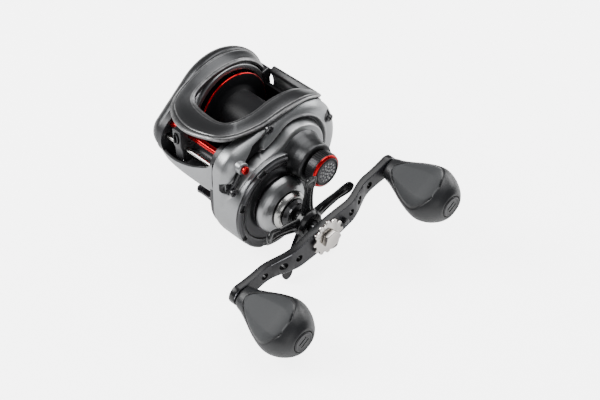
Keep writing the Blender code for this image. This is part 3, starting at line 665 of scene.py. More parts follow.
def build_side_shell():
    outline = hull(GEAR_SIDE)
    turns = around(560)
    rim = radial(outline, DRIVE, turns)
    start = np.array(DRIVE) + BARREL_BORE * directions(turns)
    shares = 1 - (1 - np.linspace(0, 1, 120)) ** 1.3
    grid = start + shares[:, None, None] * (rim - start)
    height, dark, shine = side_surface(grid, outline)
    rings = [[at(x, *p) for p, x in zip(*row)] for row in zip(grid, height)]
    back, inside = [radial(hull(GEAR_SIDE, shrink), DRIVE, turns) for shrink in (0.2, 1.5)]
    rings += [level(x, loop) for x, loop in ((19.0, rim), (16.1, rim), (15.5, back),
                                             (15.5, inside), (21.6, inside), (21.6, start))]
    shell = mesh_object("side_shell", skin(rings, closed=True), angle=50)
    plain = np.zeros((len(rings) - len(grid)) * len(turns))
    # shade: painted shade in the valley, wells and link channel, and the leaf's own dark
    mark(shell, "shade", np.concatenate([dark.reshape(-1), plain]))
    # edge: painted highlight on the band's ridges
    mark(shell, "edge", np.concatenate([2 * shine.reshape(-1), plain]))
    carve(shell, drum(14.0, 28.0, 6.3, SPOOL, 72))
    dress(shell, SILVER, "silver", "handle_side_cover")

    barrel = turned("gear_barrel", [
        (17.0, BARREL_BORE), (17.0, BARREL_RADIUS), (28.6, BARREL_RADIUS), (28.6, 16.4),
        (29.5, 16.4), (29.5, 11.3), (27.9, 11.3), (27.9, BARREL_BORE)], DRIVE, 192, 0.5, 40)
    dress(barrel, SILVER, "silver")
    paint_faces(barrel, RING_DARK, lambda c, n: c.x > 28.4 and off_axis(c, DRIVE) < 19.6)

    boss = turned("cap_boss", [
        (22.0, 6.4), (22.0, 13.4), (24.2, 13.2), (25.2, 12.0), (26.6, 10.7), (28.6, 9.8),
        (31.0, 9.2), (33.4, 8.9), (35.2, 8.8), (35.9, 8.3), (35.9, 5.4), (26.2, 5.4),
        (26.2, 6.4)], SPOOL, 128, 0.3, 40)
    carve(boss, drum(27.8, 37.5, 12.9, DRIVE, 128))
    # the boss is marked darker towards the cap
    mark(boss, "shade", [0.88 * smoothstep((v.co.x / MM - 24.6) / 3.0)
                         for v in boss.data.vertices])
    dress(boss, SILVER, "silver")

    mount = turned("link_mount", [(20.0, 0), (20.0, 2.7), (25.4, 2.5), (25.8, 2.1), (25.8, 0)],
                   LINK_TOP, 48, 0.3)
    dress(mount, SILVER, "silver")


def build_barrel_face():
    ring = turned("barrel_ring_body", [
        (28.9, 16.7), (28.9, 20.2), (30.2, 20.2), (30.8, 19.7), (30.8, 18.6), (30.2, 17.6),
        (29.7, 16.7)], DRIVE, 240, 0.12)
    block = bar_on_rim(29.7, 31.5, 18.4, 21.5, 1.6, -0.3)
    cut(ring, repeat_round("notch_blocks", block, 8, DRIVE, GUNMETAL, math.radians(22.5 - 90)))
    cut(ring, mesh_object("cap_gap", drum(28, 32, 11.6, SPOOL, 96)))
    modify(ring, "BEVEL", width=0.12 * MM, limit_method="ANGLE")
    shade(ring)
    dress(ring, RING_DARK, "gunmetal", "barrel_ring", rub_and_highlight=0.5)

    def on_notch_wall(c, n):
        outwards = n.y * (c.y - DRIVE[0]) + n.z * (c.z - DRIVE[1])
        return n.x < 0.5 and c.x > 30.15 and off_axis(c, DRIVE) > 18.4 and abs(outwards) < 8

    paint_faces(ring, NOTCH_EDGE, on_notch_wall)

    dome = turned("dome_shell", [
        (28.3, 6.7), (28.3, 10.9), (29.6, 10.9), (30.6, 11.0), (30.9, 12.2), (31.3, 12.4),
        (32.4, 12.05), (33.5, 11.4), (34.6, 10.4), (35.5, 9.2), (35.9, 8.6), (36.0, 8.3),
        (35.6, 8.0), (35.6, 6.7)], DRIVE, 160, 0.3, 40)
    dress(dome, DOME, "silver", "bearing_dome", rub_and_highlight=0.3)
    collar = turned("collar_ring", [
        (36.3, 5.2), (36.3, 8.0), (36.9, 8.2), (38.0, 7.7), (38.8, 7.2), (38.9, 6.8),
        (38.7, 5.2)], DRIVE, 128)
    dress(collar, STEEL, "steel", "drive_collar")


# --- screws and link

CROSS_TURN = math.atan2(0.6, 0.8)


def cross_screw(name, x0, x1, centre, radius, material, slot, node_name, dome=0.12):
    head = turned(name, [(x0, 0), (x0, radius), (x1 - 0.05, radius), (x1 + dome, radius * 0.6),
                         (x1 + dome, 0)], centre, 48, 0.25)
    arm, width = radius * 0.62, radius * 0.17
    bars = [[(-a, -b), (a, -b), (a, b), (-a, b)] for a, b in ((arm, width), (width, arm))]
    carve(head, *[prism([place(centre, CROSS_TURN, a, b) for a, b in bar],
                        x1 - radius * 0.45, x1 + 2) for bar in bars])
    dress(head, material, slot, node_name, rub_and_highlight=0.5)


def build_trim():
    black = (GLOSS_BLACK, "black_metal")
    cross_screw("screw_ear", 22.4, 23.7, (-12.4, 16.8), 1.9, *black, "hood_screw")
    cross_screw("screw_red", 26.1, 27.3, LINK_TOP, 1.6, RED, "red_metal", "link_screw_red")
    cross_screw("screw_lower", 25.1, 26.2, LINK_FOOT, 1.6, *black, "link_screw_lower")
    cross_screw("screw_rear", 24.4, 25.3, REAR_SCREW, 1.7, *black, "cover_screw_rear")
    top, foot = Vector(LINK_TOP), Vector(LINK_FOOT)
    along = (foot - top).normalized()
    aside = Vector((-along.y, along.x))
    rings = []
    for share in np.linspace(0, 1, 13):
        middle = top.lerp(foot, share) + along * (1.4 * (2 * share - 1))
        half = 1.25 - 0.35 * math.sin(math.pi * share)
        ring = [(0, -half), (0, half), (0.45, half), (0.7, half * 0.6), (0.55, 0),
                (0.7, -half * 0.6), (0.45, -half)]
        rings.append([at(25.0 - share + up, *(middle + aside * side)) for up, side in ring])
    link = mesh_object("link_bar", skin(rings), angle=30, bevel=0.1)
    dress(link, GLOSS_BLACK, "black_plastic", "trim_link", rub_and_highlight=0.5)


# --- frame pieces

# The silver front lip: a station along X, then y and h of its curve from the top edge down
LIP = [
    (-18.6, -32.6, -4.8, -32.4, -5.8, -31.4, -7.4, -29.6, -9.0, -27.6, -9.8),
    (-13.0, -34.0, -4.4, -34.0, -5.8, -32.8, -8.0, -29.8, -10.8, -27.4, -12.2),
    (-6.0, -35.1, -3.0, -35.1, -5.4, -33.8, -7.8, -30.4, -11.6, -27.4, -13.6),
    (2.0, -35.5, -0.4, -35.5, -5.0, -34.0, -7.8, -30.4, -12.0, -27.2, -14.2),
    (8.0, -35.4, 2.4, -35.4, -4.2, -33.9, -7.8, -30.4, -12.0, -27.2, -14.3),
    (12.0, -35.3, 4.6, -35.3, -3.4, -33.7, -7.6, -30.2, -12.0, -27.0, -14.4),
    (14.8, -34.6, 7.4, -35.0, -2.6, -33.4, -7.4, -30.0, -12.0, -26.8, -14.6),
]


def build_frame():
    turns = around(240)
    outline = radial(hull(PLATE_SIDE), (-8, -2), turns)
    plate = mesh_object("gear_plate", prism(outline, 13.0, 15.2))
    carve(plate, *[drum(12, 16, r, centre) for r, centre in (
        (5.2, SPOOL), (5.3, DRIVE), (2.9, WORM), (1.7, RED_BAR), (1.2, GUIDE_ROD))],
        drum(12.5, 13.7, 18.0))
    dress(plate, SATIN_BLACK, "gunmetal", "main_frame")

    rim, bore = radial(hull(PALM_SIDE), SPOOL, turns), 18.35 * directions(turns)
    ring = mesh_object("palm_wall", skin([level(x, loop) for x, loop in (
        (-19.5, bore), (-19.5, rim), (-16.8, rim), (-16.8, bore))], closed=True))
    carve(ring, *[drum(-17.9, -16, r, centre) for r, centre in (
        (2.9, WORM), (1.7, RED_BAR), (1.2, GUIDE_ROD))])
    dress(ring, SATIN_BLACK, "gunmetal")
    collar = turned("palm_collar", [
        (-17.2, 18.35), (-17.2, 20.2), (-14.2, 20.2), (-13.4, 19.9), (-13.3, 18.0),
        (-14.6, 17.7), (-16.6, 18.0)], SPOOL, 192, 0.15)
    dress(collar, SILVER, "silver")

    thickness, steps = 1.5, 15
    rings = []
    for s in smooth_path(LIP, 90):
        outer = smooth_path(s[1:].reshape(-1, 2), steps)
        slopes = [outer[min(i + 1, steps - 1)] - outer[max(i - 1, 0)] for i in range(steps)]
        inner = [p + np.array([-d[1], d[0]]) / np.linalg.norm(d) * thickness
                 for p, d in zip(outer, slopes)]
        top = [outer[0] + (inner[0] - outer[0]) * t + np.array([0, 0.22 * math.sin(math.pi * t)])
               for t in (0.75, 0.5, 0.25)]
        rings.append(level(s[0], outer + inner[::-1] + top))
    lip = mesh_object("front_lip", skin(rings), angle=45)
    dress(lip, SILVER, "silver")
    paint_faces(lip, SATIN_BLACK, lambda c, n: n.y > 0.3 and c.y > -35.2)

    side = [(-23.4, -18.9), (-14, -19.9), (18, -19.9), (18, -18.6), (-14, -18.6), (-23.2, -17.6)]
    floor = mesh_object("well_floor", prism(side, -19.0, 14.5), bevel=0.3)
    dress(floor, SATIN_BLACK, "gunmetal")
    turns = [math.radians(-66 + 75 * k / 40) for k in range(41)]
    arc = [place(SPOOL, t, 21.4) for t in turns] + [place(SPOOL, t, 19.6) for t in turns[::-1]]
    dress(mesh_object("rear_wall", prism(arc, -18.4, 14.3), bevel=0.2), SATIN_BLACK, "gunmetal")


BRACKET_SIDE = [(17.4, 9.4), (21.4, 10.4), (23.6, 8.0), (22.0, 5.4), (22.4, 0.0), (22.0, -3.0),
                (20.2, -5.5), (18.8, -1.0), (18.4, 4.0)]


def build_rear_brackets():
    """Black shoulders at the ends of the thumb bar, which carry the hood's two rear ends."""
    for name, x0, x1 in (
            ("rear_bracket_palm", -19.2, -13.0), ("rear_bracket_handle", 12.9, 15.3)):
        bracket = mesh_object(name, prism(BRACKET_SIDE, x0, x1), bevel=0.5, segments=3)
        dress(bracket, GLOSS_BLACK, "black_metal", rub_and_highlight=0.5)


def build_foot():
    curve = 11.0

    def profile(half):
        xs = np.linspace(-half, half, 25)
        beyond = np.maximum(0.0, np.abs(xs) - half * 0.2)
        drop = np.sqrt(curve ** 2 - beyond ** 2) - curve
        return [(x, d + 0.02) for x, d in zip(xs, drop)] + [
            (x, 1.2 + d * 0.8) for x, d in zip(xs, drop)][::-1]

    stations = smooth_path([(-27.4, 3.6), (-26.4, 5.2), (-23, 6.5), (-8, 6.6), (0, 6.6), (8, 6.6),
                            (24, 6.5), (28, 5.4), (29.2, 3.6)], 70)
    rings = [[(x, y, z) for x, z in profile(half)] for y, half in stations]
    foot = mesh_object("foot_saddle", skin(rings), angle=40, bevel=0.12)
    dress(foot, GLOSS_BLACK, "black_metal", "reel_foot", rub_and_highlight=0.5)


# Stations round the hood: x, y and h of its inner edge, then of its outer edge, then thickness
HOOD = [
    (-14.2, 20.2, 9.0, -19.6, 21.6, 9.8, 1.2),
    (-14.0, 15.0, 15.6, -19.6, 16.4, 17.6, 1.1),
    (-13.8, 7.0, 20.2, -19.6, 7.4, 22.2, 1.6),
    (-13.8, -3.0, 21.0, -19.6, -3.6, 23.2, 1.7),
    (-13.8, -12.0, 19.2, -19.6, -15.0, 20.0, 1.9),
    (-12.6, -18.6, 16.8, -18.4, -25.6, 15.2, 2.0),
    (-8.6, -21.0, 15.8, -12.4, -30.8, 13.6, 1.6),
    (-1.0, -22.2, 15.8, -2.0, -34.0, 14.6, 1.5),
    (6.6, -22.6, 16.8, 8.6, -32.4, 15.8, 1.5),
    (11.0, -20.6, 18.2, 16.4, -27.4, 16.4, 1.5),
    (12.8, -12.0, 19.0, 21.2, -15.0, 18.2, 1.6),
    (13.2, -2.0, 21.0, 22.6, -3.6, 20.6, 1.3),
    (13.4, 8.0, 20.0, 22.4, 7.4, 20.4, 1.0),
    (13.6, 15.4, 16.4, 21.0, 15.6, 17.2, 1.1),
    (13.8, 19.4, 13.4, 18.6, 19.8, 13.8, 1.0),
    (13.9, 22.4, 10.2, 15.4, 22.6, 10.3, 0.8),
]
# Across the band's top: share from the opening outwards, lift, and how much that line is
# lightened, as rubbed paint and painted highlight
HOOD_SECTION = [(0.0, 0.0, 0.6), (0.02, 0.2, 0.9), (0.13, 0.42, 0.2), (0.16, 0.5, 0.8),
                (0.2, 0.46, 0.1), (0.4, 0.62, 0.0), (0.6, 0.62, 0.0), (0.78, 0.5, 0.1),
                (0.82, 0.44, 0.9), (0.845, 0.26, 0.1), (0.87, 0.26, 0.1), (0.9, 0.34, 0.5),
                (0.96, 0.26, 0.9), (1.0, 0.0, 1.0)]
# Under the band: share from the opening outwards, share of the thickness down, and rub with
# painted highlight
HOOD_UNDER = [(1.0, 0.6, 0.3), (0.95, 0.92, 0), (0.88, 1.0, 0), (0.12, 1.0, 0), (0.04, 0.92, 0),
              (0.0, 0.6, 0.2)]


def build_hood():
    rings = []
    for s in smooth_path(HOOD, 200):
        inner, outer, depth = Vector(s[:3]), Vector(s[3:6]), s[6]
        across = outer - inner
        down = Vector((0, 0, -1))
        if abs(across.y) < abs(across.x):
            down = -Vector((0, inner.y, inner.z)).normalized()
        ring = [inner + across * t - down * lift for t, lift, _ in HOOD_SECTION]
        ring += [inner + across * t + down * depth * share for t, share, _ in HOOD_UNDER]
        rings.append([at(*p) for p in ring])
    hood = mesh_object("hood_band", skin(rings), angle=24)
    # edge: painted highlights on the crease lines, with rubbed paint on the edges
    mark(hood, "edge", [rub_and_highlight for *_, rub_and_highlight in HOOD_SECTION + HOOD_UNDER] * len(rings))
    dress(hood, GUNMETAL, "gunmetal", "hood")


def build_palm_side():
    stations = smooth_path([(-19.8, 0.6), (-20.8, 0.0), (-23.0, 0.4), (-25.4, 2.0), (-27.2, 5.0),
                            (-28.2, 9.0)], 34)
    rings = []
    for x, shrink in stations:
        loop = radial(hull(PALM_COVER_SIDE, shrink), (-8, -1), around(260))
        loop[:, 1] = np.maximum(loop[:, 1], -21.0 + 0.25 * shrink)
        rings.append(level(x, loop))
    cover = mesh_object("palm_shell", skin(rings), angle=50)
    carve(cover, lathe([(-26, 7.6), (-26, 18), (-19, 18), (-19, 7.6)]),
          drum(-25.2, -19, 5.3, SPOOL, 64), drum(-30, -27, 8.6, SPOOL, 96))
    dress(cover, GUNMETAL, "gunmetal", "palm_cover", "palm_side", rub_and_highlight=0.5)

    dial = turned("dial_disc", [(-27.3, 0), (-27.3, 7.8), (-28.7, 7.8), (-28.9, 7.4), (-28.9, 0)])
    rib = bar_on_rim(-28.8, -27.4, 7.5, 8.2, 0.26, 0.08)
    ribs = repeat_round("dial_ribs", rib, 36, SPOOL, GUNMETAL)
    half = [(-6.6, -1.0), (-6.2, -1.1), (6.2, -1.1), (6.6, -1.0)]
    bar = prism(half + [(-y, -h) for y, h in half], -30.2, -28.5)
    grip = mesh_object("dial_grip_bar", bar, bevel=0.3)
    dress(dial, GUNMETAL, "gunmetal", "brake_dial", "brake")
    dress(ribs, GUNMETAL, "gunmetal", body="brake")
    dress(grip, SATIN_BLACK, "gunmetal", body="brake")


# --- level wind

def build_level_wind():
    left, right = -17.6, 15.0
    for name, radius, centre, steps, corner, *rest in (
            ("red_bar", 1.4, RED_BAR, 48, 0.2, RED, "red_metal", "level_wind_bar"),
            ("steel_rod", 0.9, GUIDE_ROD, 40, 0.15, STEEL, "steel", "guide_rod")):
        rod = turned(name, [(left, 0), (left, radius), (right, radius), (right, 0)], centre,
                     steps, corner)
        dress(rod, *rest)
    housing = turned("worm_tube", [(left, 1.9), (left, 2.6), (12.7, 2.6), (12.7, 1.9)], WORM,
                     56, 0.15)
    half, low = 0.8, -5.8
    front, back = WORM[0] - half, WORM[0] + half
    carve(housing, prism([(front, low), (back, low), (back, WORM[1]), (front, WORM[1])],
                         -15.5, 11.0))
    dress(housing, SATIN_BLACK, "black_metal", "worm_housing")


GUIDE_SIDE = [(-33.4, 10.6), (-29.4, 10.6), (-29.4, 3.4), (-22.2, 3.4), (-21.8, 2.6),
              (-21.8, -4.2), (-22.8, -5.0), (-31.0, -5.0), (-32.4, -3.4), (-32.6, 1.0),
              (-33.4, 3.6)]
GUIDE_X = -7.2
EYELET_H = 7.0


def oval(y, half_width, half_height, steps=64):
    """A ring across Y round the line guide's eyelet."""
    return [at(GUIDE_X + half_width * math.cos(t), y, EYELET_H + half_height * math.sin(t))
            for t in around(steps)]


def build_line_guide():
    carriage = mesh_object("guide_carriage", prism(GUIDE_SIDE, -9.6, -4.8), bevel=0.45,
                           segments=3)
    plug = [oval(y, 1.7, 2.85, 48) for y in (-36, -28.9)]
    post = [[at(GUIDE_X + y, WORM[0] + z, h) for y, z in 0.9 * directions(around(24))]
            for h in (-6, WORM[1])]
    carve(carriage, drum(-11, -3, 2.9, WORM), drum(-11, -3, 1.2, GUIDE_ROD), skin(plug),
          skin(post))
    dress(carriage, SATIN_BLACK, "black_plastic", "line_guide", "line_guide", rub_and_highlight=0.5)
    band = [oval(-34.0, 1.4, 2.55), oval(-29.0, 1.4, 2.55), oval(-29.0, 0.9, 2.05),
            oval(-33.9, 0.9, 2.05), oval(-34.2, 1.1, 2.25)]
    eyelet = mesh_object("eyelet_ring", skin(band, closed=True))
    dress(eyelet, DARK_STEEL, "steel", "eyelet_insert", "line_guide")


# --- spool and thumb bar

def build_spool():
    w, r = 12.2, 17.4
    flange = [(w - 1.3, 12.4), (w - 1.1, r - 0.2), (w - 0.7, r), (w - 0.3, r - 0.1),
              (w, r - 1.4), (w, 1.9)]
    profile = [(-x, y) for x, y in flange[::-1]] + [(2.4 - w, 10.4), (w - 2.4, 10.4)] + flange
    body = mesh_object("spool_body", lathe(soften(profile, 0.2, 2), SPOOL, 192))
    dress(body, SPOOL_BLACK, "black_metal", "spool", "spool")
    paint_faces(body, RED, lambda c, n: c.x < -10.7 and off_axis(c, SPOOL) > r - 0.75)
    clips = []
    for x0, turn in ((4.6, 2.2), (7.0, 2.35), (4.9, 2.62)):
        clip = soften([(x0, 0), (x0, 0.55), (x0 + 2.2, 0.55), (x0 + 2.2, 0)], 0.15)
        clips.append(lathe(clip, place(SPOOL, turn, 10.5), 24))
    dress(mesh_object("line_clips", together(*clips)), STEEL, "steel", body="spool")


THUMB_SIDE = [(22.4, -1.0), (24.4, -1.0), (25.6, 3.6), (25.2, 8.0), (24.0, 10.2), (22.8, 10.6),
              (21.2, 9.2), (21.2, 8.0), (22.4, 5.8), (22.9, 3.0)]


def build_thumb_bar():
    bar = mesh_object("thumb_rest", prism(THUMB_SIDE, -12.6, 12.5), bevel=0.4, segments=3)
    dress(bar, SATIN_BLACK, "gunmetal", "thumb_bar", "thumb_bar", rub_and_highlight=0.5)
    # painted shadow: the faces below the lit top stay satin black, and only the top faces get
    # gunmetal
    paint_faces(bar, GUNMETAL, lambda c, n: c.z > 6.5 and n.y > -0.2)


# --- crank side

CRANK_TILT = math.radians(11.7)
CRANK_HALF = 39.8  # from the drive shaft to a knob's axis
TIP = 4.4  # the arm's rounded end beyond that axis
STAR_HUB, STAR_REACH = 5.4, 23.6
DISHED = 0.86  # share of a star arm at which its tip is dished and begins to round off


def crank_x(reach):
    share = min(1.0, max(0.0, (abs(reach) - 13.0) / 16.0))
    return 56.8 - 4.2 * (0.5 - 0.5 * math.cos(math.pi * share))


def crank_half_width(reach):
    share = abs(reach) / CRANK_HALF
    return 5.9 - 2.6 * math.sin(math.pi / 2 * min(1.0, share * 1.15)) ** 2 + 1.1 * share ** 6


def crank_place(reach, side=0.0):
    return place(DRIVE, CRANK_TILT, reach, side)


def build_crank():
    tips = [CRANK_HALF + TIP * math.sin(math.pi / 2 * k / 12) for k in range(1, 13)]
    reaches = [-t for t in tips[::-1]] + list(np.linspace(-CRANK_HALF, CRANK_HALF, 121)) + tips
    rings = []
    for reach in reaches:
        beyond = max(0.0, abs(reach) - CRANK_HALF) / TIP
        half = crank_half_width(min(abs(reach), CRANK_HALF)) * max(
            0.2, math.sqrt(max(0.0, 1 - beyond ** 2 * 0.98)))
        section = [(-3.0, 0.3 - half), (-2.7, -half), (-0.5, -half), (-0.2, 0.12 - half),
                   (0, 0.42 - half)]
        section += [(0, 0)] + [(x, -side) for x, side in section[::-1]] + [(-3.0, 0)]
        rings.append([at(crank_x(reach) + x, *crank_place(reach, side)) for x, side in section])
    arm = mesh_object("crank_blade", skin(rings), angle=24)
    holes = [drum(50, 60, 2.8, DRIVE)]
    holes += [drum(45, 62, r, crank_place(sign * reach)) for sign in (-1, 1)
              for reach, r in ((14.2, 1.5), (20.6, 1.7), (28.4, 1.5))]
    carve(arm, *holes)
    dress(arm, CRANK_BLACK, "black_metal", "crank_arm", "crank")
    paint_faces(arm, CHARCOAL, lambda c, n: n.x > 0.87)
    paint_faces(arm, CHAMFER, lambda c, n: 0.6 < n.x < 0.87)

    outline = [place(DRIVE, t, 7.1 + 0.62 * math.tanh(2.4 * math.cos(12 * t)))
               for t in around(240)]
    plate = mesh_object("lobed_retainer", prism(outline, 57.1, 58.3), bevel=0.2)
    carve(plate, drum(56, 60, 2.8, DRIVE))
    hexagon = [place(DRIVE, math.radians(60 * i + 14), 4.1) for i in range(6)]
    nut = mesh_object("hex_nut", prism(hexagon, 58.6, 60.8), bevel=0.28, segments=3)
    for piece, node_name in ((plate, "nut_retainer"), (nut, "crank_nut")):
        dress(piece, NICKEL, "nickel", node_name, "crank", rub_and_highlight=0.5)
    head = turned("retainer_stop", [
        (57.1, 0), (57.1, 1.2), (58.7, 1.2), (58.9, 0.7), (58.7, 0.6), (58.7, 0)],
        crank_place(9.6), 36, 0.15)
    dress(head, GLOSS_BLACK, "black_metal", "retainer_screw", "crank")


def star_arm(turn):
    """One arm from the hub out, with a crowned face, two grooves and a dished tip."""
    rings = []
    for share in np.linspace(0, 1, 37):
        reach = STAR_HUB + (STAR_REACH - STAR_HUB) * share
        tip = max(0.0, share - DISHED) / (1 - DISHED)
        half = 3.1 - 0.9 * math.sin(math.pi * share * 0.62)
        half += 1.0 * smoothstep((share - 0.55) / 0.3)
        half *= math.sqrt(max(0.06, 1 - tip ** 2 * 0.9))
        x = 46.6 + 2.2 * share ** 1.8
        thick = 3.0 - 1.0 * share
        groove = 0.32 * smoothstep(share * 5) * (1 - smoothstep((share - 0.72) * 6))
        ring = []
        for side in np.linspace(-1, 1, 17):
            crown = math.sqrt(max(0.0, 1 - side ** 2)) ** 0.7 * 0.75
            line = groove * bell(abs(side), 0.42, 0.12)
            cup = 0.28 * bell(share, DISHED, 0.07) * max(0.0, 1 - side * side * 1.6)
            ring.append((side, crown - line - cup))
        ring += [(0.6, -0.9), (0.0, -1.0), (-0.6, -0.9)]
        rings.append([at(x + out * thick / 2, *place(DRIVE, turn, reach, half * side))
                      for side, out in ring])
    return skin(rings)


def build_star():
    hub = lathe(soften([
        (44.6, 2.8), (44.6, STAR_HUB), (45.2, 6.1), (48.0, 6.1), (49.6, 5.0), (49.6, 2.8)], 0.4),
        DRIVE)
    arms = [star_arm(math.radians(90 + 72 * k)) for k in range(5)]
    star = mesh_object("star_wheel", together(hub, *arms), angle=40)
    dress(star, STAR_BLACK, "black_metal", "star_drag", "star")


# A knob's stations: x, half-width across its faces, half-thickness
KNOB = [(53.3, 3.6, 3.6), (54.0, 4.6, 4.4), (57.0, 5.4, 4.9), (61.0, 7.0, 5.6), (66.0, 9.2, 6.8),
        (71.0, 10.8, 8.0), (75.0, 11.2, 8.8), (79.0, 10.0, 8.6), (82.4, 7.8, 7.2),
        (84.2, 5.8, 5.6), (84.6, 5.0, 4.9)]
KNOB_FACE = math.radians(32)
SQUARENESS = 0.86


def panel_half_width(x, wide):
    """Half the width of a knob's face panel at a station, nought past the panel's ends."""
    stretch = abs(x - 68.5) / 11.5
    return (wide - 1.5) * max(0.0, 1 - stretch ** 3.4) ** 0.5


def build_knob(name, sign, body, cap_node):
    centre = crank_place(sign * CRANK_HALF)
    steps = 144
    turns = around(steps)
    c, s = np.cos(turns), np.sin(turns)
    across = np.sign(c) * np.abs(c) ** SQUARENESS
    up = np.abs(s) ** SQUARENESS

    def round_loop(x, r):
        return level(x, [place(centre, t + KNOB_FACE, r) for t in turns])

    rings = [round_loop(80.0, 0.02), round_loop(80.0, 2.3), round_loop(53.3, 2.3)]
    dark = [np.zeros(steps)] * 3
    for x, wide, thick in smooth_path(KNOB, 130):
        half = panel_half_width(x, wide)
        edge = half - np.abs(wide * across)
        facing = np.abs(s) > 0.25
        panel = smoothstep(edge / 0.5) * facing * 0.28
        groove = bell(edge, -0.35, 0.32) * facing * (half > 0.4)
        flat = 0.9 * float(smoothstep((half - 1) / 2))
        through = thick * (up * (1 - flat) + flat * np.minimum(up, 0.93))
        through = (through + panel - 0.4 * groove) * np.sign(s)
        rings.append(level(x, zip(*place(centre, KNOB_FACE, wide * across, through))))
        # painted shade in the groove round each face panel
        dark.append(groove * 0.9)
    rings += [round_loop(84.5, 4.6), round_loop(83.2, 4.6), round_loop(83.2, 0.02)]
    dark += [np.zeros(steps)] * 3
    knob = mesh_object(f"{name}_grip", skin(rings), angle=50)
    mark(knob, "shade", np.concatenate(dark))
    dress(knob, GRIP, "grip", name, body)
    turned_away = Matrix.Rotation(-KNOB_FACE, 2)

    def on_panel(c, n):
        u = (turned_away @ Vector((c.y - centre[0], c.z - centre[1]))).x
        wide = np.interp(c.x, [k[0] for k in KNOB], [k[1] for k in KNOB])
        facing = abs((turned_away @ Vector((n.y, n.z))).y) > 0.55
        return facing and abs(u) < panel_half_width(c.x, wide)

    paint_faces(knob, GRIP_FACE, on_panel)

    cap = turned(f"{name}_end", [
        (83.5, 0), (83.5, 4.3), (84.6, 4.3), (85.0, 3.8), (84.8, 3.2), (84.8, 0)], centre, 72)
    carve(cap, *[prism([place(centre, KNOB_FACE, a, b) for a, b in (
        (-2.1, y - 0.35), (2.1, y - 0.35), (2.1, y + 0.35), (-2.1, y + 0.35))], 84.4, 86)
        for y in (-1.0, 1.0)])
    dress(cap, SATIN_BLACK, "black_plastic", cap_node, body, rub_and_highlight=0.5)


def build_tension_cap():
    part = "tension_cap"
    body = turned("cap_body", [
        (30.8, 1.8), (30.8, 5.0), (36.3, 5.0), (36.3, 6.6), (36.6, 6.9), (40.6, 6.9),
        (41.1, 6.6), (41.1, 5.0), (34.5, 5.0), (34.5, 1.8)], SPOOL, 128, 0.15)
    dress(body, CAP_BLACK, "black_metal", part, part)
    rib = bar_on_rim(36.9, 40.3, 6.7, 7.2, 0.34, 0.1)
    knurl = repeat_round("cap_knurl", rib, 44, SPOOL, CAP_BLACK)
    dress(knurl, CAP_BLACK, "black_metal", body=part)
    ring = turned("cap_red_ring", [
        (40.9, 5.4), (40.9, 6.95), (41.4, 6.8), (41.8, 6.1), (41.8, 5.4)], SPOOL, 128, 0.15)
    dress(ring, RED, "red_metal", body=part)
    disc = turned("cap_disc", [
        (40.9, 0), (40.9, 5.5), (41.9, 5.9), (42.2, 5.5), (42.1, 4.9), (41.9, 4.8),
        (41.9, 0)], SPOOL, 128, 0.12)
    dress(disc, CAP_BLACK, "black_metal", body=part)
    paint_faces(disc, SPECKLED, lambda c, n: n.x > 0.95 and off_axis(c, SPOOL) < 4.85)
    for name, radius, count in (("cap_dots_outer", 3.6, 14), ("cap_dots_middle", 2.3, 9),
                                ("cap_dots_inner", 1.0, 4)):
        dot = bar_on_rim(41.85, 42.1, radius - 0.42, radius + 0.42, 0.42, 0.12)
        dots = repeat_round(name, dot, count, SPOOL, STEEL_GREY, 0.2 * radius, bevel=0.08)
        dress(dots, STEEL_GREY, "steel", body=part)


# --- carried-over pieces

SLOT_FINISH = {"gunmetal": GUNMETAL, "silver": SILVER, "black_metal": SATIN_BLACK,
               "black_plastic": SATIN_BLACK, "red_metal": RED, "steel": STEEL, "nickel": NICKEL,
               "brass": BRASS, "grip": GRIP, "carbon": CARBON}
DARK_NODES = ("drag_sleeve", "drag_spring_washer", "drive_shaft", "anti_reverse_bearing")


def finish_inner_pieces():
    slots = {part["node"]: part["material_slot"] for part in frame["record"]["subparts"]}
    for name, obj in frame["nodes"].items():
        chosen = DARK_STEEL if name in DARK_NODES else SLOT_FINISH[slots[name]]
        if not obj.material_slots:
            obj.data.materials.append(chosen)
        for held in obj.material_slots:
            held.material = chosen


# --- studio

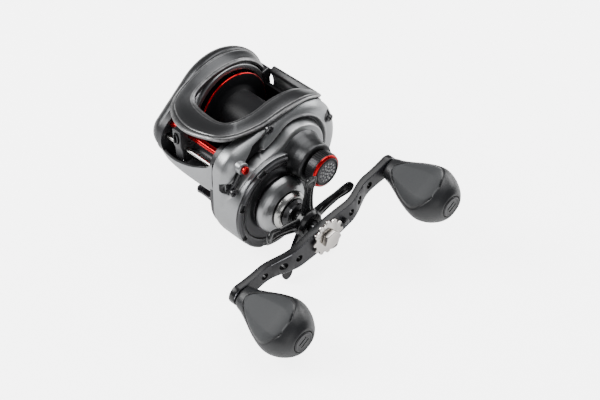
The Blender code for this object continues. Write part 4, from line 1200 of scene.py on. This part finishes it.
def build_floor():
    mesh = bpy.data.meshes.new("studio_floor")
    mesh.from_pydata([(-4, -4, 0), (4, -4, 0), (4, 4, 0), (-4, 4, 0)], [], [(0, 1, 2, 3)])
    floor = add("studio_floor", mesh)
    floor.location.z = min(v[2] for v in cad_box) - 0.0002
    pale = bpy.data.materials.new("pale_floor")
    pale.use_nodes = True
    tree = pale.node_tree
    shader = tree.nodes["Principled BSDF"].inputs
    shader["Base Color"].default_value = (0.93, 0.93, 0.93, 1)
    shader["Roughness"].default_value = 0.8
    shader["Emission Color"].default_value = (1, 1, 1, 1)
    seen = node(tree, "ShaderNodeLightPath").outputs["Is Camera Ray"]
    feed(tree, shader["Emission Strength"], math_node(tree, "MULTIPLY_ADD", seen, 4.0, 0.5))
    mesh.materials.append(pale)


def build_studio():
    build_floor()
    world = bpy.data.worlds.new("studio")
    bpy.context.scene.world = world
    world.use_nodes = True
    sky = world.node_tree.nodes["Background"].inputs
    sky["Color"].default_value = (0.95, 0.97, 1.0, 1)
    sky["Strength"].default_value = 0.17
    target = Vector((0.02, -0.01, 0.02))
    for name, spot, size, power in (
            ("key_left", (-0.35, -0.35, 0.45), 0.35, 4.8),
            ("top_soft", (0.0, 0.25, 0.7), 0.6, 5.0),
            ("front_fill", (0.55, -0.45, 0.25), 0.4, 1.0),
            ("rear_rim", (0.1, 0.6, 0.25), 0.35, 2.4)):
        light = bpy.data.lights.new(name, "AREA")
        light.size = size
        light.energy = power
        lamp = add(name, light)
        lamp.location = spot
        lamp.rotation_euler = (target - Vector(spot)).to_track_quat("-Z", "Y").to_euler()

    camera = bpy.data.cameras.new("camera")
    camera.lens = 80
    camera.clip_start = 0.01
    viewer = add("camera", camera)
    viewer.location = (0.31573, -0.28081, 0.34933)
    viewer.rotation_euler = (math.pi / 2 - math.radians(41.1), 0, math.radians(45.8))
    bpy.context.scene.camera = viewer


def main():
    finish_inner_pieces()
    build_side_shell()
    build_barrel_face()
    build_trim()
    build_frame()
    build_foot()
    build_rear_brackets()
    build_hood()
    build_palm_side()
    build_level_wind()
    build_line_guide()
    build_spool()
    build_thumb_bar()
    build_crank()
    build_star()
    build_knob("knob_rear", 1, "rear_knob", "knob_rear_cap")
    build_knob("knob_front", -1, "front_knob", "knob_front_cap")
    build_tension_cap()
    build_studio()


main()
